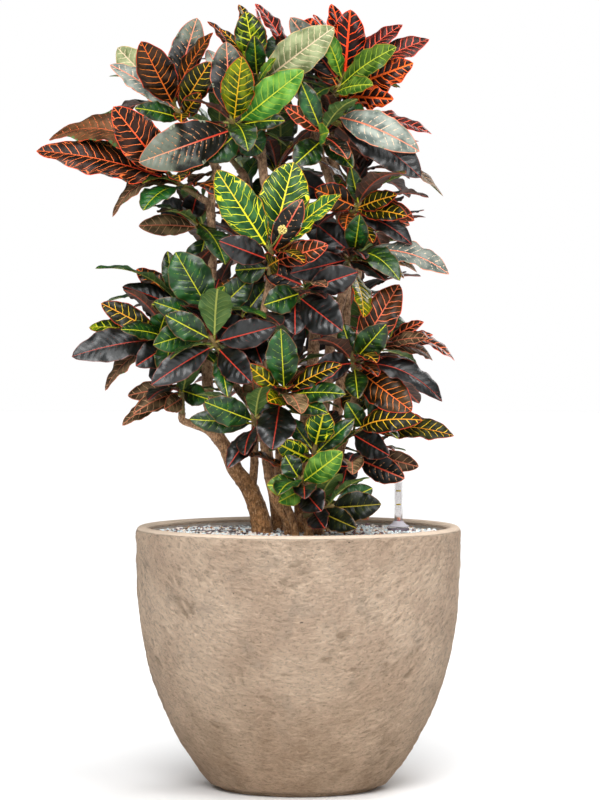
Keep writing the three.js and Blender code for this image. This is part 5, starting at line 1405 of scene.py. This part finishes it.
def vein_strength(tree, look, leaf):
    """1 on a vein and 0 between veins, and the cushion height between them."""
    spacing, width = look["spacing"], look["width"]
    wobble = maths(tree, "SUBTRACT", cloud(tree, leaf.blade, 0.07, detail=2), 0.5)
    curl = maths(tree, "MULTIPLY", maths(tree, "MULTIPLY", leaf.off, leaf.off), VEIN_CURL)
    ahead = maths(tree, "SUBTRACT", leaf.along, maths(tree, "MULTIPLY", leaf.off, VEIN_SLANT))
    ahead = maths(tree, "DIVIDE", maths(tree, "SUBTRACT", ahead, curl), spacing)
    flank = maths(tree, "GREATER_THAN", leaf.across, 0.0)
    shift = maths(tree, "MULTIPLY_ADD", leaf.own, 9.0, maths(tree, "MULTIPLY", flank, 0.45))
    phase = maths(tree, "ADD", maths(tree, "ADD", ahead, shift),
                  maths(tree, "MULTIPLY", wobble, 0.6))
    between = maths(tree, "PINGPONG", phase, 0.5)
    half = fade(tree, leaf.share, 0.0, 1.0, width, width * 0.5)
    ratio = maths(tree, "DIVIDE", maths(tree, "MULTIPLY", between, spacing), half)
    veins = maths(tree, "MULTIPLY", fade(tree, ratio, 1.5, 0.4),
                  fade(tree, leaf.share, look["reach"] + 0.2, look["reach"] - 0.15))
    if look["breaks"] > 0:
        gaps = cloud(tree, leaf.blade, 0.28, detail=1)
        veins = maths(tree, "MULTIPLY", veins,
                      fade(tree, gaps, look["breaks"] - 0.06, look["breaks"] + 0.06))
    if look["net"] > 0:
        step = maths(tree, "DIVIDE", leaf.off, spacing * 1.5)
        cell = node(tree, "CombineXYZ", {"X": phase, "Y": step, "Z": flank})
        edge = node(tree, "TexVoronoi", {"Vector": cell, "Scale": 1.0, "Randomness": 0.5},
                    feature="DISTANCE_TO_EDGE")
        ratio = maths(tree, "DIVIDE", maths(tree, "MULTIPLY", edge, spacing), width * 0.8)
        net = maths(tree, "MULTIPLY", fade(tree, ratio, 1.4, 0.3, 0, look["net"]),
                    fade(tree, leaf.share, look["net_from"], look["net_from"] + 0.25))
        veins = maths(tree, "MAXIMUM", veins, net)
    return veins, maths(tree, "MULTIPLY", between, fade(tree, leaf.share, 1.0, 0.3))


# %% Leaves: the finish of the upper side
LEAF_DEPTH = 1.22  # above 1: the dark fields darker and the colours purer
LONG_LEAF = 150.0  # millimetres: the length over which the rib narrows


def leaf_finish(name, look):
    material, tree = start_finish(name)
    leaf = leaf_measure(tree)
    veins, cushion = vein_strength(tree, look, leaf)
    # Painted sheen: on the pale blue-grey, silvery and slate-grey looks, field_far is the gloss of the
    # upper side, and on the near-black look it is blue-grey sheen. tipward spreads field_far towards
    # the tip.
    tipward = look["tipward"]
    patches = cloud(tree, leaf.blade, 0.045, detail=3)
    ramp = maths(tree, "MULTIPLY_ADD", leaf.along, tipward / LONG_LEAF, -tipward / 2)
    patches = maths(tree, "MULTIPLY_ADD", patches, 1 - tipward, ramp)
    field = shades(tree, patches, 0.35 - 0.35 * tipward, 0.65 - 0.65 * tipward,
                   look["field"], look["field_far"])
    tone = node(tree, "HueSaturation", {"Hue": maths(tree, "MULTIPLY_ADD", leaf.own, 0.03, 0.485),
                                        "Value": maths(tree, "MULTIPLY_ADD", leaf.own, 0.6, 0.65),
                                        "Color": field})
    base = coats(tree, tone, (veins, 0.05, 0.45, 1, look["halo"]))
    if look["blotches"] > 0:
        blots = cloud(tree, leaf.blade, 0.11, detail=2)
        base = coats(tree, base, (blots, 0.5, 0.6, look["blotches"], look["halo"]))
    base = coats(tree, base, (veins, 0.4, 0.9, 1, look["vein"]))
    rib_half = fade(tree, leaf.along, 0.0, LONG_LEAF, look["rib_width"], look["rib_width"] * 0.4)
    rib = fade(tree, maths(tree, "DIVIDE", leaf.off, rib_half), 1.25, 0.6)
    base = mix(tree, rib, base,
               shades(tree, leaf.along, 20.0, 110.0, look["rib"], look["rib_far"]))
    base = coats(tree, base, (leaf.edge, 1.3, 0.4, 0.9, look["margin"]))
    deep = node(tree, "Gamma", {"Color": base, "Gamma": LEAF_DEPTH})
    height = maths(tree, "SUBTRACT", cushion, maths(tree, "MULTIPLY", rib, 0.5))
    fine = bump(tree, cloud(tree, leaf.blade, 1.1, detail=2), 0.25 * MM, 0.5,
                under=bump(tree, height, 1.8 * MM, 0.65))
    return end_finish(material, deep, look["rough"], fine, {
        "Specular IOR Level": look["shine"], "Coat Weight": look["coat"], "Coat Roughness": 0.32})


BACK_VEINS = {"spacing": 9.0, "width": 0.7, "reach": 0.85, "breaks": 0, "net": 0}


def leaf_back_finish(name, field, field_far, vein, rib):
    """The lower side: duller, with the veins raised and only a little paler than the field."""
    material, tree = start_finish(name)
    leaf = leaf_measure(tree)
    veins, cushion = vein_strength(tree, BACK_VEINS, leaf)
    base = shades(tree, cloud(tree, leaf.blade, 0.05, detail=3), 0.35, 0.65, field, field_far)
    base = mix(tree, maths(tree, "MULTIPLY", veins, 0.6), base, colour(*vein))
    base = coats(tree, base, (leaf.off, 1.4, 0.8, 1, rib))
    raised = maths(tree, "SUBTRACT", veins, cushion)
    return end_finish(material, base, 0.6, bump(tree, raised, 0.8 * MM, 0.6))


# %% [markdown]
# The looks are taken from the plant's leaves as they age. Young leaves are bright green with a thin
# yellow rib. Grown ones are dark green with yellow veins, then near black with a red rib, or brown
# black with orange to red veins. Some show their dull bronze lower side. The pale blue-grey and
# silvery looks, the pale grey of the slate-grey one towards its tip, and the blue-grey patches on the
# near-black ones are painted sheen: the gloss that the light lays on the upper side is painted into
# their colour.

# %% Leaves: the looks
PLAIN = {"spacing": 9.0, "width": 0.7, "reach": 0.8, "breaks": 0, "net": 0, "net_from": 0.45,
         "rib_width": 0.85, "rough": 0.36, "shine": 0.18, "coat": 0.08, "blotches": 0, "lobes": 0.03,
         "tipward": 0.2}
COLOURED = ["field", "field_far", "halo", "vein", "rib", "rib_far", "margin"]


def leaf_look(back, *colours, **changes):
    """PLAIN with a lower side, the colours of what COLOURED names, and what differs."""
    return PLAIN | dict(zip(COLOURED, colours, strict=True)) | changes | {"back": back}


LOOKS = {
    "young": leaf_look("green", (66, 114, 42), (126, 162, 76), (130, 162, 72), (176, 196, 72),
        (222, 226, 72), (206, 218, 104), (176, 150, 60), width=0.5),
    "green": leaf_look("green", (18, 54, 16), (46, 98, 40), (38, 82, 28), (140, 164, 48),
        (214, 212, 48), (186, 194, 56), (130, 92, 48), width=0.45, reach=0.7, breaks=0.45,
        rib_width=0.75, shine=0.42, coat=0.15),
    "moss": leaf_look("bronze", (16, 22, 12), (44, 50, 34), (38, 44, 24), (92, 92, 40),
        (172, 156, 56), (140, 132, 52), (132, 100, 56), width=0.45, reach=0.7, breaks=0.45,
        rib_width=0.75),
    "net": leaf_look("green", (30, 72, 28), (78, 116, 66), (112, 150, 46), (236, 234, 60),
        (248, 238, 64), (246, 222, 92), (206, 150, 52), spacing=10.5, width=0.52, reach=0.9,
        net=0.9, net_from=0.4, rib_width=1.25),
    "gold": leaf_look("green", (46, 66, 8), (120, 128, 18), (140, 148, 26), (226, 198, 42),
        (240, 196, 50), (236, 180, 60), (206, 84, 40), net=0.4),
    "blotched": leaf_look("green", (26, 48, 14), (58, 88, 22), (140, 160, 34), (214, 214, 60),
        (226, 222, 66), (214, 206, 70), (190, 110, 56), width=0.8, blotches=0.8),
    "olive": leaf_look("bronze", (24, 28, 9), (58, 60, 18), (84, 80, 20), (232, 196, 58),
        (244, 178, 60), (236, 156, 64), (196, 78, 44), width=0.6, net=0.3),
    # Painted sheen: the blue-grey field_far of this near-black look stands for the gloss on its upper
    # side.
    "night": leaf_look("bronze", (5, 7, 7), (34, 38, 39), (28, 24, 20), (120, 58, 40),
        (214, 74, 50), (166, 72, 52), (130, 66, 48), width=0.5, reach=0.6, breaks=0.58,
        rib_width=0.8, rough=0.4, shine=0.55, coat=0.2),
    "umber": leaf_look("bronze", (28, 17, 8), (80, 54, 32), (96, 60, 26), (234, 140, 58),
        (244, 136, 60), (236, 112, 60), (212, 82, 48), width=0.6),
    "ember": leaf_look("bronze", (28, 18, 9), (86, 56, 34), (122, 66, 34), (255, 142, 82),
        (252, 84, 54), (255, 136, 80), (252, 104, 66), spacing=10.5, width=0.6, reach=0.85,
        net=0.75, net_from=0.5, rib_width=1.3),
    "flame": leaf_look("rosy", (20, 9, 4), (64, 22, 10), (130, 42, 18), (255, 98, 44),
        (255, 92, 48), (255, 124, 60), (255, 100, 52), spacing=10.5, width=0.75, reach=0.9, net=0.8,
        rib_width=1.7),
    "lobed": leaf_look("rosy", (28, 14, 5), (74, 30, 10), (150, 60, 18), (255, 128, 54),
        (255, 116, 52), (255, 144, 62), (255, 106, 54), width=0.9, reach=0.95, net=0.7,
        net_from=0.4, rib_width=1.7, lobes=0.2),
    "rose": leaf_look("rosy", (46, 28, 24), (92, 50, 42), (140, 60, 48), (244, 116, 92),
        (250, 104, 80), (250, 130, 106), (250, 100, 76), width=0.75, reach=0.85, net=0.3),
    "rust": leaf_look("rosy", (42, 26, 10), (84, 48, 22), (130, 64, 32), (236, 136, 92),
        (238, 120, 84), (236, 134, 96), (236, 108, 80), width=0.8, reach=0.95),
    # Painted sheen: the slate-grey look's pale field_far towards its tip, and the whole pale field of
    # the next two looks, stand for the gloss on the upper side.
    "slate": leaf_look("pale", (22, 22, 12), (120, 126, 112), (110, 102, 80), (226, 160, 112),
        (226, 88, 64), (236, 180, 148), (222, 120, 80), width=0.6, reach=0.7, breaks=0.5,
        rib_width=1.1, rough=0.42, shine=0.35, tipward=0.6),
    "frost": leaf_look("pale", (112, 124, 118), (182, 188, 178), (196, 194, 178), (250, 216, 188),
        (248, 150, 118), (250, 172, 146), (250, 160, 124), width=0.65, reach=0.75, breaks=0.5,
        rib_width=1.1, rough=0.45),
    "silver": leaf_look("pale", (126, 134, 94), (176, 182, 142), (192, 190, 150), (232, 216, 182),
        (236, 214, 180), (238, 220, 190), (224, 190, 140), width=0.6, reach=0.85, breaks=0.38,
        rib_width=1.1, rough=0.45),
    "bronze": leaf_look("green", (82, 54, 30), (132, 94, 64), (136, 88, 54), (232, 128, 84),
        (244, 120, 76), (238, 132, 88), (246, 106, 70), width=0.5, breaks=0.5, rough=0.5),
    "dull": leaf_look("green", (76, 60, 42), (134, 112, 86), (130, 108, 82), (194, 154, 120),
        (212, 130, 100), (206, 150, 122), (208, 134, 102), width=0.6, rough=0.55, coat=0.0),
}
BACKS = {
    "green": [(58, 92, 40), (82, 110, 48), (140, 156, 76), (170, 176, 84)],
    "bronze": [(58, 42, 36), (86, 62, 50), (150, 84, 58), (190, 84, 56)],
    "pale": [(120, 130, 108), (146, 150, 126), (196, 186, 150), (214, 190, 160)],
    "rosy": [(120, 58, 44), (150, 84, 62), (196, 96, 70), (214, 92, 70)],
}
upper_finishes = {look: leaf_finish(f"leaf_{look}", LOOKS[look]) for look in LOOKS}
back_finishes = {back: leaf_back_finish(f"leaf_back_{back}", *BACKS[back]) for back in BACKS}


# %% Leaves: finishes of the young stem and the petioles
def green_wood_finish(name, main, other):
    """Soft young stem: green, with brown streaks along it and small pale pores."""
    material, tree = start_finish(name)
    streaks = cloud(tree, place_on_object(tree, stretch=(1, 1, 0.4)), 300, detail=3)
    pores = cloud(tree, place_on_object(tree), 1300, detail=1)
    base = shades(tree, streaks, 0.35, 0.65, main, other)
    base = coats(tree, base, (pores, 0.66, 0.74, 0.5, (196, 184, 140)))
    return end_finish(material, base, 0.5, bump(tree, streaks, 0.4 * MM, 0.6))


young_wood = green_wood_finish("young_stem", (112, 104, 58), (142, 116, 76))
petiole_finish = green_wood_finish("petiole", (132, 142, 56), (148, 118, 58))

# %% [markdown]
# ## Leaves and young stems
# A leaf is one closed surface: rings of points round its section, from the petiole's root to the tip.
# On the petiole the ring is round. On the blade it is flat: half of its points lie on the upper
# side and half on the lower, half a millimetre below, with the midrib swelling underneath.

# %% Leaves: the surface
HALF_COLUMNS = 7
BLADE_THICKNESS = 0.55
PETIOLE_ROUND = 1.5
RIB_SWELL = 1.1
ROOT_IN_STEM = 1.2
LEAF_ARCH = 0.2
LEAF_ROLL = 0.5
LEAF_LATE = 1.04
LEAF_FULLNESS = 0.67
PETIOLE_ROWS = 5
BLADE_ROWS = 30

RIPPLES = 4.5  # lobes down each margin
FRILL = 0.012  # how far the margin waves up and down, as a share of the length
FRILLS = 6

def leaf_grid():
    """Rows along, and round each row the places across, with 1 on the upper side and -1 below."""
    step = np.linspace(0, 1, HALF_COLUMNS) ** 1.25
    upper = np.concatenate([-step[:0:-1], step])
    across = np.concatenate([upper, upper[-2:0:-1]])
    facing = np.concatenate([np.ones(len(upper)), -np.ones(len(upper) - 2)])
    petiole = np.linspace(0, PETIOLE_END, PETIOLE_ROWS)
    blade = PETIOLE_END + (1 - PETIOLE_END) * np.linspace(0, 1, BLADE_ROWS + 2)[1:-1]
    return np.concatenate([petiole, blade]), across, facing, len(upper)


LEAF_ALONG, LEAF_ACROSS, LEAF_FACING, UPPER_COLUMNS = leaf_grid()


def build_leaf(leaf):
    """The leaf's points, faces, marks and the kind of each face: 0 petiole, 1 upper, 2 lower."""
    length = np.linalg.norm(leaf["chord"])
    along = LEAF_ALONG[:, None]
    across = np.broadcast_to(LEAF_ACROSS[None], (len(LEAF_ALONG), len(LEAF_ACROSS)))
    share = np.clip((along - PETIOLE_END) / (1 - PETIOLE_END), 0, 1)
    flat = ease(share, 0.0, 0.06)
    ripple = np.sin(2 * np.pi * (RIPPLES * share + leaf["chance"]) + 1.3 * np.sign(across))
    ripple = 1 + LOOKS[leaf["look"]]["lobes"] * ripple * np.sin(np.pi * share)
    half = blade_half_width(leaf, along, LEAF_LATE, LEAF_FULLNESS) * np.where(flat > 0, ripple, 1)
    roll = LEAF_ROLL * (leaf["chance"] - 0.5)
    middle, normal = leaf_places(leaf, along, across, half, LEAF_ARCH, roll)
    round_part = PETIOLE_ROUND * np.sqrt(1 - across**2)
    margin = np.sqrt(1 - across**6)
    swell = RIB_SWELL * (1 - 0.8 * share) * np.exp(-((across * half / 1.5) ** 2))
    blade_part = BLADE_THICKNESS / 2 * margin + np.where(LEAF_FACING[None] < 0, swell, 0)
    thick = round_part * (1 - flat) + blade_part * flat
    frill = FRILL * length * flat * np.abs(across) ** 3
    frill = frill * np.sin(2 * np.pi * (FRILLS * share + 3 * leaf["chance"]) + np.sign(across))
    points = middle + normal * (LEAF_FACING[None] * thick + frill * np.sin(np.pi * share))[..., None]
    root = leaf["base"] - unit(leaf["chord"]) * ROOT_IN_STEM
    tip = leaf_places(leaf, np.array([1.0]), np.array([0.0]), np.array([0.0]))[0]
    points = with_ends(points, np.concatenate([root[None], tip])) * MM
    blade = np.stack([
        np.broadcast_to((along - PETIOLE_END) * length, across.shape),
        across * half,
        (1 - np.abs(across)) * half,
    ], axis=-1)
    blade = with_ends(blade, [[-PETIOLE_END * length, 0, 1], [length, 0, 0]])
    marks = {"blade": blade, "own": np.full(len(points), leaf["chance"])}
    faces = ring_faces(*across.shape)
    row, column = np.divmod(np.arange(len(faces[0])), across.shape[1])
    kinds = np.where(column < UPPER_COLUMNS - 1, 1, 2)
    kinds = np.where(row < PETIOLE_ROWS - 1, 0, kinds)
    start = np.zeros(len(faces[1]), int)
    end = np.where(np.arange(len(faces[2])) < UPPER_COLUMNS - 1, 1, 2)
    return points, faces, marks, np.concatenate([kinds, start, end])


# %% Shoots: the young stem with its bud
YOUNG_FOOT = 3.8
YOUNG_TIP = 2.4
YOUNG_COLUMNS = 12
YOUNG_ROWS = 26
YOUNG_END = 5
YOUNG_SCARS = 5.5  # millimetres between leaf scars
BUD_LENGTH = 9


def build_young_stem(shoot, seed):
    """A tube whose radius shrinks, swells at each leaf scar and ends in a pointed bud."""
    lean = shoot["lean"]
    foot = shoot["at"] - SHOOT_REACH * lean
    share = np.linspace(0, 1, YOUNG_ROWS)
    distance = share * (SHOOT_REACH + YOUNG_END + BUD_LENGTH)
    bud = ease(distance, SHOOT_REACH + YOUNG_END - 4, SHOOT_REACH + YOUNG_END + BUD_LENGTH)
    radius = (YOUNG_FOOT + (YOUNG_TIP - YOUNG_FOOT) * share) * (1 - 0.9 * bud)
    radius = radius * (1 + 0.08 * np.sin(2 * np.pi * distance / YOUNG_SCARS + seed))
    centre = foot + lean * distance[:, None]
    points = centre[:, None] + rings_round(lean[None], YOUNG_COLUMNS) * radius[:, None, None]
    points = with_ends(points, centre[[0, -1]]) * MM
    marks = {"blade": np.zeros((len(points), 3)), "own": np.full(len(points), chance(seed))}
    faces = ring_faces(YOUNG_ROWS, YOUNG_COLUMNS)
    return points, faces, marks, np.zeros(sum(len(block) for block in faces), int)


# %% Shoots: one piece each
def build_shoot(name, shoot, leaves, seed):
    looks = sorted({leaf["look"] for leaf in leaves})
    backs = sorted({LOOKS[look]["back"] for look in looks})
    finishes = [young_wood, petiole_finish]
    finishes += [upper_finishes[look] for look in looks] + [back_finishes[back] for back in backs]
    parts = [build_young_stem(shoot, seed)]
    which = [parts[0][3]]
    for leaf in leaves:
        part = build_leaf(leaf)
        upper = 2 + looks.index(leaf["look"])
        back = 2 + len(looks) + backs.index(LOOKS[leaf["look"]]["back"])
        parts.append(part)
        which.append(np.array([1, upper, back])[part[3]])
    points, faces, marks = join_parts(parts)
    piece = make_piece(name.replace("shoot", "foliage"), points, faces, finishes, marks,
                       np.concatenate(which), sharp=70)
    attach(piece, "planter")
    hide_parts(name)
    return piece


# %% Shoots: the flower buds
BUDS_AT = np.array([-19.0, -150.0, 687.0])
BUDS_STALK = [[-33, -100, 668], [-31, -122, 668], [-25, -138, 676], [-19, -150, 687]]
BUD_COUNT = 20
BUD_RADIUS = 1.7
HEAD_RADIUS = 4.4
BUD_COLUMNS = 10


def small_ball(centre, way, radius):
    """A ball of 5 rings with its pole to way, marked 1 at that pole, falling to 0 at the other."""
    tip = np.linspace(0, np.pi, 7)[1:-1, None, None]
    ring = rings_round(way[None], BUD_COLUMNS)
    points = centre + radius * (ring * np.sin(tip) - way * np.cos(tip))
    points = with_ends(points, [centre - radius * way, centre + radius * way])
    outward = (points - centre) @ way / radius / 2 + 0.5
    return points * MM, ring_faces(len(tip), BUD_COLUMNS), {"outward": outward}


def buds_finish():
    """Ivory buds with a brown dent where each will open, and a green stalk."""
    material, tree = start_finish("flower_buds")
    outward = attribute(tree, "outward")
    clouds = cloud(tree, place_on_object(tree), 900, detail=2)
    base = coats(tree, mix(tree, clouds, colour(236, 220, 140), colour(214, 190, 96)),
                 (outward, 0.9, 0.97, 1, (74, 48, 26)),
                 (outward, 0.02, 0.0, 1, (132, 136, 60)))
    return end_finish(material, base, 0.5, bump(tree, clouds, 0.3 * MM, 0.5))


def build_buds():
    """A head of small balls, spread evenly by the golden angle, on a stalk."""
    places, tangents, _ = smooth_path(BUDS_STALK, 3.0)
    stalk = places[:, None] + rings_round(tangents, BUD_COLUMNS)
    stalk = with_ends(stalk, places[[0, -1]]) * MM
    parts = [(stalk, ring_faces(len(places), BUD_COLUMNS), {"outward": np.zeros(len(stalk))})]
    number = np.arange(BUD_COUNT)
    up = 1 - 2 * (number + 0.5) / BUD_COUNT
    turn = number * math.pi * (3 - math.sqrt(5))
    ways = np.stack([np.sqrt(1 - up**2) * np.cos(turn), np.sqrt(1 - up**2) * np.sin(turn), up], -1)
    parts += [small_ball(BUDS_AT + HEAD_RADIUS * way, way, BUD_RADIUS) for way in ways]
    points, faces, marks = join_parts(parts)
    piece = make_piece("flower_buds", points, faces, [buds_finish()], marks)
    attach(piece, "planter")


build_buds()

# %% Shoots: all of them
leaf_faces = 0
for number, (shoot_name, leaves) in enumerate(leaf_layout.items()):
    foliage = build_shoot(shoot_name, SHOOTS[shoot_name], leaves, number)
    leaf_faces += len(foliage.data.polygons)
print("foliage faces:", leaf_faces)

# %% [markdown]
# ## Studio
# The picture has a white ground and soft light from the front and above. Two far lamps, each as wide
# as a large panel looks, give most of the light. A near lamp fills in from the right and another
# lights the edges from behind. A large pale floor and a bright surround give the white.


# %% Floor
FLOOR_REACH = 14.0


def build_floor():
    corners = np.array([[-1, -1, 0], [1, -1, 0], [1, 1, 0], [-1, 1, 0]])
    material, tree = start_finish("pale_floor")
    clouds = cloud(tree, place_on_object(tree), 0.6, detail=2)
    base = mix(tree, clouds, colour(251, 251, 251), colour(248, 248, 248))
    floor = make_piece("floor", FLOOR_REACH * corners, [np.array([[0, 1, 2, 3]])],
                       [end_finish(material, base, 0.9)])


build_floor()


# %% Lamps and surround
def add_lamp(name, kind, place, aim, power, **settings):
    """A lamp at place that shines towards aim."""
    data = bpy.data.lights.new(name, kind)
    data.energy = power
    for label, value in settings.items():
        setattr(data, label, value)
    lamp = bpy.data.objects.new(name, data)
    bpy.context.scene.collection.objects.link(lamp)
    way = np.array(aim) - np.array(place)
    lamp.location = place
    lamp.rotation_euler = (
        math.atan2(math.hypot(way[0], way[1]), -way[2]),
        0,
        math.atan2(way[1], way[0]) - math.pi / 2,
    )


GROUND_MIDDLE = (0.0, 0.0, 0.0)
PLANT_MIDDLE = (0.0, 0.0, 0.55)
add_lamp("front_panel", "SUN", (-0.35, -3.0, 1.8), GROUND_MIDDLE, 2.95, angle=math.radians(34))
add_lamp("top_panel", "SUN", (0.4, -0.8, 3.0), GROUND_MIDDLE, 1.95, angle=math.radians(44))
add_lamp("fill", "AREA", (2.2, -2.4, 1.2), PLANT_MIDDLE, 16, shape="DISK", size=1.6)
add_lamp("edge", "AREA", (1.4, 2.2, 1.8), PLANT_MIDDLE, 30, shape="DISK", size=1.6)

AMBIENT = 0.12


def build_surround():
    """A white surround, to the eye and through clear plastic. The light it gives is AMBIENT of it."""
    surround = bpy.data.worlds.new("surround")
    surround.use_nodes = True
    tree = surround.node_tree
    seen = node(tree, "LightPath", output="Is Camera Ray")
    through = node(tree, "LightPath", output="Is Transmission Ray")
    seen = maths(tree, "MAXIMUM", seen, through)
    shine = maths(tree, "MULTIPLY_ADD", seen, 1 - AMBIENT, AMBIENT)
    ground = tree.nodes["Background"]
    ground.inputs["Color"].default_value = (1, 1, 1, 1)
    tree.links.new(shine, ground.inputs["Strength"])
    bpy.context.scene.world = surround


build_surround()
bpy.context.scene.view_settings.view_transform = "Standard"
